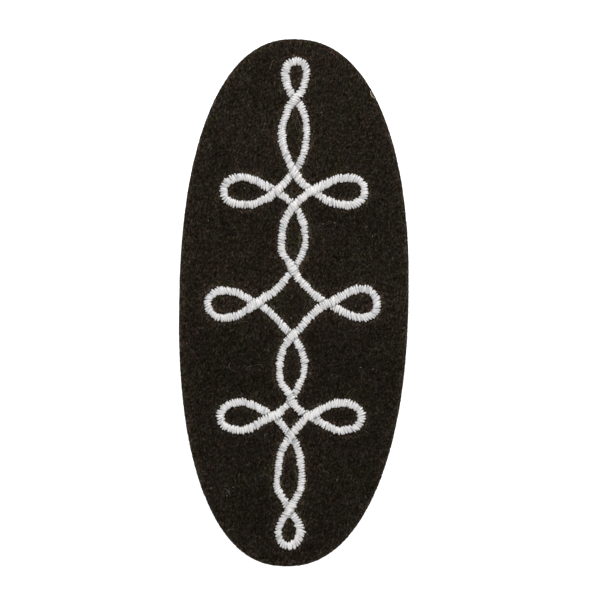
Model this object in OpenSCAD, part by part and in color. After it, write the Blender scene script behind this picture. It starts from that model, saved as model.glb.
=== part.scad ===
// Embroidered oval patch: a cut oval of thick milled wool that carries a looped knot,
// one unbroken line of satin stitch that crosses over and under itself.
// The patch lies on its back. +Z is up, +Y runs along its length, and the origin is the
// middle of its back. Sizes are in millimetres.

/* [Wool ground] */
// Width of the oval
patch_w = 38.6; // [34:0.1:50]
// Length of the oval
patch_l = 89; // [86:0.5:115]
// Thickness of the milled wool
wool_t = 2; // [1:0.1:3]
// Fullness of the oval, where 2 is a true ellipse and more is squarer
fullness = 2.27; // [2:0.01:2.6]
// Sway of the hand-cut edge, as a share of the oval's half size
cut_sway = 0.0066; // [0:0.0002:0.01]
// Direction in which the cut runs fullest, in degrees
sway_turn = 7; // [0:1:120]
// Wear that rounds the front edge of the cut
front_wear = 0.45; // [0.1:0.05:0.6]
// Wear that rounds the back edge of the cut
back_wear = 0.2; // [0.05:0.05:0.35]

/* [Satin line] */
// Width of the line
line_w = 1.3; // [0.9:0.05:1.5]
// Height of the line over the wool
line_h = 0.55; // [0.45:0.05:0.8]
// Height of each of two passes where they cross and are drawn tight
crossed_h = 0.42; // [0.25:0.01:0.45]
// Length over which a pass climbs on to another
climb = 1; // [0.6:0.1:1.2]
// Fullness of the line's section, where 2 is a half ellipse
line_fullness = 2.6; // [2:0.1:4]
// Clear gap between pieces that lie on or against each other
lay_gap = 0.04; // [0.02:0.01:0.1]

/* [Knot] */
// Length of the knot, between the middles of the line at the crown and at the foot
knot_l = 81.85; // [70:0.05:82.5]
// Turn of the knot on the oval, in degrees to the left
knot_turn = 0.36; // [-1:0.02:1]
// Skew of the knot, in degrees by which its side loops rise to the right
knot_skew = 0.74; // [-1:0.02:1]
// Place of the knot across the oval
knot_x = -0.2; // [-1:0.05:1]
// Place of the knot along the oval
knot_y = -0.2; // [-1:0.05:1]

/* [Smoothness] */
// Points round the oval
oval_points = 120; // [60:12:180]
// Longest step between two sections of the line
section_step = 1; // [0.8:0.1:1.5]
// Largest turn between two sections of the line, in degrees
section_turn = 15; // [12:1:20]

/* [Hidden] */

WOOL_COLOUR = [0.13, 0.11, 0.09];
THREAD_COLOUR = [0.83, 0.83, 0.82];
RIGHT = 1;
LEFT = -1;

// The knot is drawn in its own axes, x to the right and y up, for the right run of the line:
// from the top of the crown down to the bottom of the foot. The left run is its mirror image.
// Headings are in degrees from +x.

// Small loops at the two ends: where the line turns round, and its widest place
END_Y = 0;
WIDEST_Y = 1;
HALF_W = 2;
//        end_y   widest_y  half_w
crown = [ 41,     39,       1.8  ];
foot  = [-40.85, -38.45,    1.85 ];

// Crossings on the long axis, from the top
AXIS_Y = 0;
AXIS_HEADING = 1;
axis_crossings = [
    // y      heading
    [ 34.6,   -130 ],
    [ 22.4,    -54 ],
    [ 16.55,  -135 ],
    [  5.85,   -59 ],
    [ -5.4,   -136 ],
    [-16.05,   -65 ],
    [-22.2,   -128 ],
    [-34.7,    -61 ]
];

// Lenses between each second pair of those crossings, from the top
LENS_Y = 0;
LENS_HALF = 1;
lenses = [
    // widest_y  half_w
    [ 28.7,      2.05 ],
    [ 10.3,      2    ],
    [-11.35,     2.1  ],
    [-30.05,     2.05 ]
];

// Side loops, from the top: where the loop closes on itself and the line's headings into it
// and out of it there, its lowest and highest places, and its tip
SELF_X = 0;
SELF_Y = 1;
HEADING_IN = 2;
HEADING_OUT = 3;
SWELL_X = 4;
LOW_Y = 5;
HIGH_Y = 6;
TIP_X = 7;
TIP_Y = 8;
side_loops = [
    // self_x  self_y  in    out    swell_x  low_y   high_y   tip_x   tip_y
    [  3.05,   19.05,  -30,  -156,   8.9,    16.75,   21.45,  11.95,   19.05 ],
    [  6,       0.1,   -26,  -155,  11.7,    -2.35,    2.45,  14.3,     0    ],
    [  3.05,  -18.9,   -20,  -151,   8.65,  -21.3,   -16.65,  11.9,   -19.05 ]
];

// A knot of the line is its x and y, its heading, how it lies there, and how far the crossing
// reaches along it each way
HEADING = 2;
LAY = 3;
REACH = 4;
FREE = 0;
OVER = 1;
UNDER = -1;

// A place on the line is the point and the way that the line runs there
POINT = 0;
WAY = 1;

// Spare length of lift past the end of a crossing
REACH_SPARE = 0.12;

// Sides of the line's section round its top, and corners of the whole section
TOP_SIDES = 6;
SECTION_CORNERS = TOP_SIDES + 1;
// Steps in each worn edge of the wool
WEAR_STEPS = 3;
// Full places of the cut round the oval
SWAY_FOLDS = 3;

knot_scale = knot_l / (crown[END_Y] - foot[END_Y]);
last_crossing = len(axis_crossings) - 1;
last_run = len(side_loops);

// General help

// Part of a turn that is left when whole turns are taken out
function short_turn(a) = a - 360 * round(a / 360);

// Power of a length that keeps its sign
function signed_power(v, p) = sign(v) * pow(abs(v), p);

// Smooth climb from 0 to 1
function smooth(t) = let (c = min(1, max(0, t))) c * c * (3 - 2 * c);

// Sums of the first none, one, two and so on of a list
function running_sums(v) = [
    for (i = 0, s = 0; i <= len(v); s = s + (i < len(v) ? v[i] : 0), i = i + 1) s
];

// Outline of the wool

function oval_raw(a) =
    let (sway = 1 + cut_sway * cos(SWAY_FOLDS * (a - sway_turn)), p = 2 / fullness)
    sway * [patch_w / 2 * signed_power(cos(a), p), patch_l / 2 * signed_power(sin(a), p)];

raw_outline = [for (i = [0 : oval_points - 1]) oval_raw(360 * i / oval_points)];
raw_low = [for (k = [0 : 1]) min([for (p = raw_outline) p[k]])];
raw_high = [for (k = [0 : 1]) max([for (p = raw_outline) p[k]])];
raw_size = raw_high - raw_low;

// The outline at its stated size, with its middle on the origin
outline = [
    for (p = raw_outline)
        [
            (p[0] - (raw_low[0] + raw_high[0]) / 2) * patch_w / raw_size[0],
            (p[1] - (raw_low[1] + raw_high[1]) / 2) * patch_l / raw_size[1]
        ]
];

// A point of the outline, moved straight in from the edge
function inset_point(i, d) =
    let (
        n = len(outline),
        along = outline[(i + 1) % n] - outline[(i + n - 1) % n],
        inward = [-along[1], along[0]] / norm(along)
    )
    outline[i] + d * inward;

// Rows of the cut edge from the back to the front, each with its distance in from the
// outline and its height
INSET = 0;
HEIGHT = 1;
wear_angles = [for (k = [0 : WEAR_STEPS]) 90 * k / WEAR_STEPS];
edge_rows = concat(
    [for (a = wear_angles) [back_wear * (1 - sin(a)), back_wear * (1 - cos(a))]],
    [for (a = wear_angles) [front_wear * (1 - cos(a)), wool_t - front_wear * (1 - sin(a))]]
);

// Route of the line

// How far two passes that cross at an angle lie over each other, each way along the line
function crossing_reach(angle) =
    line_w / 2 * (1 + abs(cos(angle))) / abs(sin(angle)) + REACH_SPARE;

function plain_knot(x, y, heading) = [x, y, heading, FREE, 0];

// The line is sewn in one go. It starts just above the last crossing on the axis, climbs the
// left half, rounds the crown, comes down the right half and rounds the foot. Where it meets
// itself, the later pass lies over the earlier one.
function axis_knot(i, side) =
    let (heading = axis_crossings[i][AXIS_HEADING])
    [
        0, axis_crossings[i][AXIS_Y], heading,
        (i == last_crossing ? -side : side) * OVER,
        crossing_reach(2 * (heading + 90))
    ];

// Where a side loop closes on itself: the line as it enters the loop, or as it leaves it
function self_knot(i, side, entering) =
    let (
        loop = side_loops[i],
        heading = entering ? loop[HEADING_IN] : loop[HEADING_OUT],
        lay = side * (entering ? UNDER : OVER)
    )
    [loop[SELF_X], loop[SELF_Y], heading, lay, crossing_reach(loop[HEADING_OUT] - loop[HEADING_IN])];

function tip_knot(i) = plain_knot(side_loops[i][TIP_X], side_loops[i][TIP_Y], 90);

// The start of a run: half the crown, or the upper half of a side loop
function run_head(k, side) =
    k == 0
        ? [plain_knot(0, crown[END_Y], 0), plain_knot(crown[HALF_W], crown[WIDEST_Y], -90)]
        : [
            tip_knot(k - 1),
            plain_knot(side_loops[k - 1][SWELL_X], side_loops[k - 1][HIGH_Y], 180),
            self_knot(k - 1, side, false)
        ];

// The middle of a run: one side of a lens between two crossings
function run_middle(k, side) = [
    axis_knot(2 * k, side),
    plain_knot(-lenses[k][LENS_HALF], lenses[k][LENS_Y], -90),
    axis_knot(2 * k + 1, side)
];

// The end of a run: half the foot, or the lower half of a side loop
function run_tail(k, side) =
    k == last_run
        ? [plain_knot(foot[HALF_W], foot[WIDEST_Y], -90), plain_knot(0, foot[END_Y], 180)]
        : [
            self_knot(k, side, true),
            plain_knot(side_loops[k][SWELL_X], side_loops[k][LOW_Y], 0),
            tip_knot(k)
        ];

function run_knots(k, side) = concat(run_head(k, side), run_middle(k, side), run_tail(k, side));

// Curve between two knots

function spot(knot) = [knot[0], knot[1]];
function chord(a, b) = norm(spot(b) - spot(a));
function turn(a, b) = short_turn(b[HEADING] - a[HEADING]);
function bearing(heading) = [cos(heading), sin(heading)];

function stretch_steps(a, b) = max(
    2,
    ceil(chord(a, b) * knot_scale / section_step),
    ceil(abs(turn(a, b)) / section_turn)
);

// A place on the cubic curve between two knots, whose arms are those that suit a round bend
function stretch_place(a, b, t) =
    let (
        arm = chord(a, b) / 3 / pow(cos(turn(a, b) / 4), 2),
        p = spot(a),
        q = p + arm * bearing(a[HEADING]),
        s = spot(b),
        r = s - arm * bearing(b[HEADING]),
        u = 1 - t
    )
    [
        u * u * u * p + 3 * u * u * t * q + 3 * u * t * t * r + t * t * t * s,
        u * u * (q - p) + 2 * u * t * (r - q) + t * t * (s - r)
    ];

// From the knot's own axes to the oval's: scaled, mirrored for the left, skewed and turned
function laid(v, side) =
    let (x = side * v[0] * knot_scale, y = v[1] * knot_scale + x * tan(knot_skew))
    [x * cos(knot_turn) - y * sin(knot_turn), x * sin(knot_turn) + y * cos(knot_turn)];

function laid_place(place, side) =
    let (way = laid(place[WAY], side))
    [laid(place[POINT], side) + [knot_x, knot_y], way / norm(way)];

function run_places(knots, side) = [
    for (j = [0 : len(knots) - 2])
        let (n = stretch_steps(knots[j], knots[j + 1]), last = j == len(knots) - 2)
            for (i = [0 : (last ? n : n - 1)])
                laid_place(stretch_place(knots[j], knots[j + 1], i / n), side)
];

// Lift of the line over other passes

// How much of a crossing's lift, or of its squeeze, the line has at a distance from it
function crossing_share(distance, reach) = smooth((reach + climb - distance) / climb);

// The largest share from any of the run's crossings that lie so
function lay_share(s, knots, knot_s, lay) =
    max([0, for (j = [0 : len(knots) - 1])
        if (knots[j][LAY] == lay) crossing_share(abs(s - knot_s[j]), knots[j][REACH])]);

// One section of the line: a flat base and a full, rounded top
function section_ring(place, base_z, height) = [
    for (i = [0 : TOP_SIDES])
        let (
            a = 180 * i / TOP_SIDES,
            across = line_w / 2 * signed_power(cos(a), 2 / line_fullness),
            rise = height * pow(max(0, sin(a)), 2 / line_fullness),
            left_way = [-place[WAY][1], place[WAY][0]],
            p = place[POINT] + across * left_way
        )
        [p[0], p[1], base_z + rise]
];

// Faces that join a row of like rings into one closed skin
function skin_faces(rings, corners) = concat(
    [[for (j = [corners - 1 : -1 : 0]) j]],
    [
        for (i = [0 : rings - 2]) for (j = [0 : corners - 1])
            let (k = (j + 1) % corners, here = i * corners, next = here + corners)
            [here + j, here + k, next + k, next + j]
    ],
    [[for (j = [0 : corners - 1]) (rings - 1) * corners + j]]
);

// One run of the satin line
module satin_run(k, side) {
    knots = run_knots(k, side);
    whole = run_places(knots, side);
    count = len(whole);
    // The two ends stop short, by half a gap each, of the runs that carry the line on
    places = [
        for (i = [0 : count - 1])
            let (trim = (i == 0 ? 1 : i == count - 1 ? -1 : 0) * lay_gap / 2)
            [whole[i][POINT] + trim * whole[i][WAY], whole[i][WAY]]
    ];
    steps = [for (j = [0 : len(knots) - 2]) stretch_steps(knots[j], knots[j + 1])];
    knot_at = running_sums(steps);
    place_s = running_sums([for (i = [0 : count - 2]) norm(whole[i + 1][POINT] - whole[i][POINT])]);
    knot_s = [for (at = knot_at) place_s[at]];
    points = [
        for (i = [0 : count - 1])
            let (
                over = lay_share(place_s[i], knots, knot_s, OVER),
                under = lay_share(place_s[i], knots, knot_s, UNDER),
                base_z = wool_t + lay_gap + over * (crossed_h + lay_gap),
                height = line_h + max(over, under) * (crossed_h - line_h)
            )
            each section_ring(places[i], base_z, height)
    ];
    color(THREAD_COLOUR)
        polyhedron(points = points, faces = skin_faces(count, SECTION_CORNERS), convexity = 6);
}

// The oval of milled wool, with its worn, cut edge
module wool_ground() {
    points = [
        for (row = edge_rows) for (i = [0 : oval_points - 1])
            let (p = inset_point(i, row[INSET]))
            [p[0], p[1], row[HEIGHT]]
    ];
    color(WOOL_COLOUR)
        polyhedron(points = points, faces = skin_faces(len(edge_rows), oval_points), convexity = 2);
}

module crown_right_run() { satin_run(0, RIGHT); }
module upper_right_run() { satin_run(1, RIGHT); }
module lower_right_run() { satin_run(2, RIGHT); }
module foot_right_run() { satin_run(3, RIGHT); }
module crown_left_run() { satin_run(0, LEFT); }
module upper_left_run() { satin_run(1, LEFT); }
module lower_left_run() { satin_run(2, LEFT); }
module foot_left_run() { satin_run(3, LEFT); }

wool_ground();
crown_right_run();
upper_right_run();
lower_right_run();
foot_right_run();
crown_left_run();
upper_left_run();
lower_left_run();
foot_left_run();
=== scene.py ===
"""Embroidered oval patch: milled wool that carries a looped knot in white satin stitch.

The patch lies on its back round the origin, with +Z up and +Y along its length towards the crown
of the knot. Lengths are written in millimetres and become metres where a mesh is made.
"""

import logging
import math
from collections.abc import Callable, Iterator
from dataclasses import dataclass, replace
from enum import Enum, IntEnum
from itertools import product

import bpy
import numpy as np
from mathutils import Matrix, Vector, kdtree, noise

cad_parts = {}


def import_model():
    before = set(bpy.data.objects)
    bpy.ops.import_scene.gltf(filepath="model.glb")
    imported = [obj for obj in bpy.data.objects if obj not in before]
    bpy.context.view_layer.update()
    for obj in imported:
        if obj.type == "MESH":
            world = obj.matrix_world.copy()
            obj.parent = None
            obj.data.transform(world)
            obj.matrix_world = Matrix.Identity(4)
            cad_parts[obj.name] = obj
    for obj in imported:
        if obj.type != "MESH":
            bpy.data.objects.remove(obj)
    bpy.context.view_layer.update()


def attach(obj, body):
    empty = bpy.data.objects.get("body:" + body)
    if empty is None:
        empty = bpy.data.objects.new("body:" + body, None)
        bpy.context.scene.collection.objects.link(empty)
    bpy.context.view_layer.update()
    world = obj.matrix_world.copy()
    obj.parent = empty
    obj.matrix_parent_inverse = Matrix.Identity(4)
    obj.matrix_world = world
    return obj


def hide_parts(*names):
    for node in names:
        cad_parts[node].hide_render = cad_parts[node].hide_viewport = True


MM = 0.001
# Weights that smooth a row of values, and what gives a row of random ones its spread back
SOFT = (0.25, 0.5, 0.25)
SOFT_SPREAD = 1.6
# Places of the colour sockets of a Mix node
MIX_FIRST, MIX_SECOND, MIX_RESULT = 6, 7, 2
log = logging.getLogger("patch")

# Short names of types that come up again and again
Array = np.ndarray
Pair = tuple[float, float]
Triple = tuple[float, float, float]
Row = tuple[float, ...]
Colour = Triple
Draw = np.random.Generator
Piece = bpy.types.Object
Material = bpy.types.Material
Socket = bpy.types.NodeSocket


class Side(IntEnum):
    """The half of the knot that a run belongs to."""

    RIGHT = 1
    LEFT = -1


class Lay(Enum):
    """How a pass of the line lies where it meets another."""

    FREE = "free"
    OVER = "over"
    UNDER = "under"


class Slot(Enum):
    """Names of the material slots."""

    WOOL = "milled_wool"
    THREAD = "white_thread"


# General help


def smooth(share: Array) -> Array:
    """A smooth climb from 0 to 1, which holds shares under 0 or over 1 there."""
    held = np.clip(share, 0, 1)
    return held * held * (3 - 2 * held)


def unit(vectors: Array) -> Array:
    """The same vectors, each one long."""
    return vectors / np.maximum(np.linalg.norm(vectors, axis=-1, keepdims=True), 1e-12)


def wander(station: Array, length: float, step: float, draw: Draw) -> Array:
    """A smooth random course of values along a length.

    Args:
        station: Where on the length the values are wanted.
        length: The length in millimetres.
        step: Distance between the values that are drawn.
        draw: The random source.

    Returns:
        The value at each station.
    """
    drawn = draw.normal(size=int(length / step) + 2)
    values = np.convolve(drawn, SOFT, "same") * SOFT_SPREAD
    return np.interp(station, np.arange(len(values)) * step, values)


def right_of(way: Array) -> Array:
    """Directions to the right of these ways, on the face of the wool."""
    return np.stack([way[:, 1], -way[:, 0]], 1)


def raised(flat: Array, height: float | Array = 0.0) -> Array:
    """Places or directions seen from above, with their height as the third number."""
    return np.concatenate([flat, np.broadcast_to(height, flat.shape[:-1])[..., None]], -1)


@dataclass(frozen=True)
class Cloud:
    """An uneven, cloudy pattern that stays the same from run to run.

    It has the size of its largest clumps in millimetres, the number of its finer layers, and a
    shift to a part of the noise that no other cloud uses.
    """

    size: float
    octaves: int
    shift: float
    dimension: float = 0.9
    lacunarity: float = 2.1

    def at(self, points: Array) -> Array:
        """Its values, mostly from -1 to 1.

        Args:
            points: Places in millimetres, two or three numbers each.

        Returns:
            One value for each point.
        """
        deep = points.shape[1] == 3
        size, shift = self.size, self.shift
        return np.array([
            noise.fractal(
                Vector((p[0] / size + shift, p[1] / size - shift, p[2] / size if deep else 0.0)),
                self.dimension, self.lacunarity, self.octaves,
            )
            for p in points.tolist()
        ])


def start_modelling() -> None:
    """Leaves nothing selected, so that an operator touches only what is made next."""
    if bpy.context.mode != "OBJECT":
        bpy.ops.object.mode_set(mode="OBJECT")
    bpy.ops.object.select_all(action="DESELECT")


def pick_rim() -> None:
    """Selects the open rims of the mesh that is being edited."""
    bpy.ops.mesh.select_mode(type="EDGE")
    bpy.ops.mesh.select_all(action="DESELECT")
    bpy.ops.mesh.select_non_manifold(extend=False, use_wire=False, use_multi_face=False,
                                     use_non_contiguous=False, use_verts=False)


def turn_faces_out() -> None:
    """Selects all of the mesh that is being edited and points its faces outward."""
    bpy.ops.mesh.select_all(action="SELECT")
    bpy.ops.mesh.normals_make_consistent(inside=False)


def read_points(obj: Piece) -> Array:
    """The places of a mesh's vertices, in millimetres."""
    flat = np.empty(len(obj.data.vertices) * 3)
    obj.data.vertices.foreach_get("co", flat)
    return flat.reshape(-1, 3) / MM


def move_points(obj: Piece, points: Array) -> None:
    """Moves a mesh's vertices to places in millimetres."""
    obj.data.vertices.foreach_set("co", (points * MM).ravel())
    obj.data.update()


def mark(piece: Piece, name: str, values: Array) -> None:
    """Gives each vertex of a piece a value under this name."""
    piece.data.attributes.new(name, "FLOAT", "POINT").data.foreach_set("value", values)


# Shape of the knot


@dataclass(frozen=True)
class Pin:
    """A place that the line is drawn through, in the knot's own axes."""

    x: float
    y: float
    heading: float
    lay: Lay = Lay.FREE
    reach: float = 0.0


@dataclass(frozen=True)
class SideLoop:
    """A side loop: where it closes on itself, its headings there, its swell and its tip."""

    self_x: float
    self_y: float
    heading_in: float
    heading_out: float
    swell_x: float
    low_y: float
    high_y: float
    tip_x: float
    tip_y: float


@dataclass(frozen=True)
class Stray:
    """How far the sewn line strays from the drawing at a pin: out, up and in its heading."""

    pin: int
    out: float = 0.0
    up: float = 0.0
    turn: float = 0.0


@dataclass(frozen=True)
class SewnHalf:
    """How one half of the line was sewn, from the crown to the foot.

    It has the lean of the stitches off square at each pin in degrees, the width of the line there,
    and the pins that stray.
    """

    slants: Row
    widths: Row
    strays: tuple[Stray, ...]


@dataclass(frozen=True)
class Meeting:
    """A place where a course crosses another pass of the line, or itself."""

    station: float
    lay: Lay
    reach: float
    spot: Array


@dataclass
class Course:
    """One half of the line as it lies on the wool, from the crown to the foot.

    At each station it has the line's place, its way, the slant of its stitches in degrees and its
    width.
    """

    side: Side
    station: Array
    spot: Array
    way: Array
    slant: Array
    width: Array
    run_ends: list[float]
    meetings: list[Meeting]
    # Distance on each side over which a bend is measured
    bend_step: float = 0.3

    @property
    def length(self) -> float:
        """Length of the whole course."""
        return float(self.station[-1])

    def spots(self, station: Array) -> Array:
        """Places of the line at these stations."""
        return np.stack([np.interp(station, self.station, self.spot[:, k]) for k in (0, 1)], -1)

    def ways(self, station: Array) -> Array:
        """Directions of the line at these stations."""
        return unit(np.stack([np.interp(station, self.station, self.way[:, k]) for k in (0, 1)], -1))

    def bend(self, station: Array) -> Array:
        """How tightly the line turns at these stations: 1 / radius, positive to its left."""
        before, after = self.ways(station - self.bend_step), self.ways(station + self.bend_step)
        turn = before[..., 0] * after[..., 1] - before[..., 1] * after[..., 0]
        return turn / (2 * self.bend_step)


@dataclass(frozen=True)
class KnotRoute:
    """The looped knot, drawn as the part's source draws it. Headings are in degrees from +x."""

    # Length of the knot on the wool, its turn and skew in degrees, and the place of its middle
    length: float = 81.85
    turn: float = 0.36
    skew: float = 0.74
    place: Pair = (-0.2, -0.2)
    # Width that sets how far a crossing reaches, and a little more
    line_width: float = 1.3
    reach_spare: float = 0.12
    # End, widest place and half width of the loops at the crown and the foot
    crown: Triple = (41.0, 39.0, 1.8)
    foot: Triple = (-40.85, -38.45, 1.85)
    # Height and heading of each crossing on the long axis, from the top
    crossings: tuple[Pair, ...] = (
        (34.6, -130), (22.4, -54), (16.55, -135), (5.85, -59),
        (-5.4, -136), (-16.05, -65), (-22.2, -128), (-34.7, -61),
    )
    # Widest place and half width of each lens between them
    lenses: tuple[Pair, ...] = (
        (28.7, 2.05), (10.3, 2.0), (-11.35, 2.1), (-30.05, 2.05),
    )
    side_loops: tuple[SideLoop, ...] = (
        SideLoop(3.05, 19.05, -30, -156, 8.9, 16.75, 21.45, 11.95, 19.05),
        SideLoop(6.0, 0.1, -26, -155, 11.7, -2.35, 2.45, 14.3, 0.0),
        SideLoop(3.05, -18.9, -20, -151, 8.65, -21.3, -16.65, 11.9, -19.05),
    )
    # The lenses are drawn in and the loops are full. A row for each run
    right: SewnHalf = SewnHalf(
        slants=(
            0, 30, 10, 20, 20, 5, 20,
            10, -30, -25, -25, -25, -10, 0, 25,
            20, -10, -10, -10, -20, -5, -15, 15,
            10, -25, -25, -20, 15, 5, -35, -15,
        ),
        widths=(
            1.22, 1.17, 1.22, 1.21, 1.22, 1.25, 1.25,
            1.22, 1.28, 1.22, 1.18, 1.19, 1.19, 1.21, 1.23,
            1.21, 1.23, 1.25, 1.2, 1.13, 1.14, 1.22, 1.23,
            1.22, 1.22, 1.22, 1.16, 1.13, 1.19, 1.36, 1.32,
        ),
        strays=(
            Stray(1, -0.04), Stray(3, -0.17, -0.3), Stray(6, up=-0.09), Stray(8, up=-0.075),
            Stray(11, 0.06, -0.6), Stray(15, up=-0.3), Stray(16, up=0.15), Stray(18, turn=-3),
            Stray(19, up=-0.45), Stray(22, up=-0.09), Stray(24, up=-0.055), Stray(27, -0.2),
        ),
    )
    left: SewnHalf = SewnHalf(
        slants=(
            0, 15, 0, 0, 5, 20, 10,
            5, -15, -25, -20, 0, -5, 25, 0,
            -15, -25, -15, -20, -5, 15, 20, 5,
            0, -15, -15, -15, 5, -10, -25, -5,
        ),
        widths=(
            1.3, 1.38, 1.24, 1.05, 1.17, 1.26, 1.25,
            1.3, 1.32, 1.24, 1.1, 1.06, 1.19, 1.28, 1.22,
            1.21, 1.27, 1.22, 1.12, 1.06, 1.16, 1.22, 1.21,
            1.27, 1.26, 1.2, 1.14, 1.11, 1.12, 1.08, 1.18,
        ),
        strays=(
            Stray(3, 0.12, -0.35), Stray(5, turn=-13), Stray(6, -0.8, -0.03), Stray(7, -0.03),
            Stray(8, up=-0.045), Stray(11, -0.045, 0.3), Stray(13, turn=-6), Stray(14, up=-0.06),
            Stray(15, 0.03, 0.2), Stray(16, up=-0.13), Stray(18, turn=-3), Stray(19, -0.07, 0.2),
            Stray(21, turn=-3), Stray(27, 0.06), Stray(29, -0.045),
        ),
    )
    # Length over which the slant and the width change from one pin to the next
    easing: float = 2.4
    # Stretches from pin to pin in a run that goes from one side loop to the next
    run_stretches: int = 8
    # Points of the drawing in each stretch, and the step between stations on the wool
    samples: int = 80
    step: float = 0.02

    def half(self, side: Side) -> SewnHalf:
        """How this half of the line was sewn."""
        return self.right if side is Side.RIGHT else self.left

    @property
    def last_run(self) -> int:
        """Number of the last run of a half, from 0."""
        return len(self.side_loops)

    @property
    def scale(self) -> float:
        """Millimetres on the wool for each unit of the knot's own axes."""
        return self.length / (self.crown[0] - self.foot[0])

    def reach(self, angle: float) -> float:
        """How far two passes that cross at an angle lie over each other, each way along the line."""
        turn = math.radians(angle)
        return self.line_width / 2 * (1 + abs(math.cos(turn))) / abs(math.sin(turn)) + self.reach_spare

    def axis_pin(self, number: int, side: Side) -> Pin:
        """The crossing with this number on the long axis.

        Args:
            number: The crossing, from 0 at the crown.
            side: The half that is drawn.

        Returns:
            Its pin. The line starts above the last crossing, so there the left half lies over.
        """
        y, heading = self.crossings[number]
        right_over = number < len(self.crossings) - 1
        over = right_over == (side is Side.RIGHT)
        return Pin(0.0, y, heading, Lay.OVER if over else Lay.UNDER, self.reach(2 * (heading + 90)))

    def self_pin(self, number: int, side: Side, entering: bool) -> Pin:
        """The place where a side loop closes on itself.

        Args:
            number: The side loop, from 0 at the top.
            side: The half that is drawn.
            entering: True where the line goes into the loop, False where it comes out.

        Returns:
            Its pin. The later pass lies over the earlier one.
        """
        loop = self.side_loops[number]
        heading = loop.heading_in if entering else loop.heading_out
        over = entering == (side is Side.LEFT)
        reach = self.reach(loop.heading_out - loop.heading_in)
        return Pin(loop.self_x, loop.self_y, heading, Lay.OVER if over else Lay.UNDER, reach)

    def tip_pin(self, number: int) -> Pin:
        """The tip of a side loop."""
        loop = self.side_loops[number]
        return Pin(loop.tip_x, loop.tip_y, 90)

    def run_pins(self, run: int, side: Side) -> list[Pin]:
        """The pins of one run of the line.

        Args:
            run: The run, from 0 at the crown.
            side: The half that is drawn.

        Returns:
            The pins from its start to its end.
        """
        if run == 0:
            end_y, widest_y, half = self.crown
            head = [Pin(0.0, end_y, 0), Pin(half, widest_y, -90)]
        else:
            loop = self.side_loops[run - 1]
            head = [self.tip_pin(run - 1), Pin(loop.swell_x, loop.high_y, 180),
                    self.self_pin(run - 1, side, False)]
        lens_y, lens_half = self.lenses[run]
        middle = [self.axis_pin(2 * run, side), Pin(-lens_half, lens_y, -90),
                  self.axis_pin(2 * run + 1, side)]
        if run == self.last_run:
            end_y, widest_y, half = self.foot
            tail = [Pin(half, widest_y, -90), Pin(0.0, end_y, 180)]
        else:
            loop = self.side_loops[run]
            tail = [self.self_pin(run, side, True), Pin(loop.swell_x, loop.low_y, 0),
                    self.tip_pin(run)]
        pins = head + middle + tail
        # The first run starts at the crown and not at a side loop, and has one stretch less
        first = self.run_stretches * run - min(run, 1)
        for stray in self.half(side).strays:
            number = stray.pin - first
            if 0 <= number < len(pins):
                pin = pins[number]
                pins[number] = replace(pin, x=pin.x + stray.out, y=pin.y + stray.up,
                                       heading=pin.heading + stray.turn)
        return pins

    def stretch(self, start: Pin, end: Pin) -> Array:
        """The cubic curve between two pins, whose arms suit a round bend.

        Args:
            start: The pin that it leaves.
            end: The pin that it comes to.

        Returns:
            Its points, without the last.
        """
        first, last = np.array([start.x, start.y]), np.array([end.x, end.y])
        turn = (end.heading - start.heading + 180) % 360 - 180
        arm = np.linalg.norm(last - first) / 3 / math.cos(math.radians(turn / 4)) ** 2
        leave, come = math.radians(start.heading), math.radians(end.heading)
        second = first + arm * np.array([math.cos(leave), math.sin(leave)])
        third = last - arm * np.array([math.cos(come), math.sin(come)])
        t = np.linspace(0, 1, self.samples, endpoint=False)[:, None]
        u = 1 - t
        return u ** 3 * first + 3 * u * u * t * second + 3 * u * t * t * third + t ** 3 * last

    def laid(self, points: Array, side: Side) -> Array:
        """Points of the right half's axes as they lie on the wool.

        Args:
            points: Places in the knot's own axes.
            side: The half that is drawn, where the left is the mirror image of the right.

        Returns:
            Their places on the wool.
        """
        x = side * points[:, 0] * self.scale
        y = points[:, 1] * self.scale + x * math.tan(math.radians(self.skew))
        c, s = math.cos(math.radians(self.turn)), math.sin(math.radians(self.turn))
        return np.stack([x * c - y * s, x * s + y * c], 1) + np.array(self.place)

    def eased(self, values: Array) -> Array:
        """Values at the stations of a course, with soft changes between the pins."""
        window = np.hanning(int(self.easing / self.step))
        soft = np.convolve(np.pad(values, len(window), "edge"), window / window.sum(), "same")
        return soft[len(window):-len(window)]

    def course(self, side: Side) -> Course:
        """One half of the line, from the top of the crown to the bottom of the foot.

        Args:
            side: The half that is drawn.

        Returns:
            Its course on the wool.
        """
        rows: list[Array] = []
        pins: list[tuple[int, Pin]] = []
        run_ends: list[int] = [0]
        count = 0
        for run in range(self.last_run + 1):
            stops = self.run_pins(run, side)
            for start, end in zip(stops, stops[1:]):
                pins.append((count, start))
                rows.append(self.stretch(start, end))
                count += self.samples
            run_ends.append(count)
        last = self.run_pins(self.last_run, side)[-1]
        pins.append((count, last))
        rows.append(np.array([[last.x, last.y]]))
        spots = self.laid(np.vstack(rows), side)
        gone = np.concatenate([[0.0], np.cumsum(np.linalg.norm(np.diff(spots, axis=0), axis=1))])
        station = np.arange(0, gone[-1], self.step)
        spot = np.stack([np.interp(station, gone, spots[:, k]) for k in (0, 1)], 1)
        way = unit(np.gradient(spot, axis=0))
        pin_stations = np.array([gone[at] for at, _ in pins])
        half = self.half(side)
        slant = self.eased(side * np.interp(station, pin_stations, half.slants))
        width = self.eased(np.interp(station, pin_stations, half.widths))
        meetings = [
            Meeting(float(gone[at]), pin.lay, pin.reach, spots[at])
            for at, pin in pins if pin.lay is not Lay.FREE
        ]
        ends = [float(gone[at]) for at in run_ends]
        return Course(side, station, spot, way, slant, width, ends, meetings)


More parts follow.
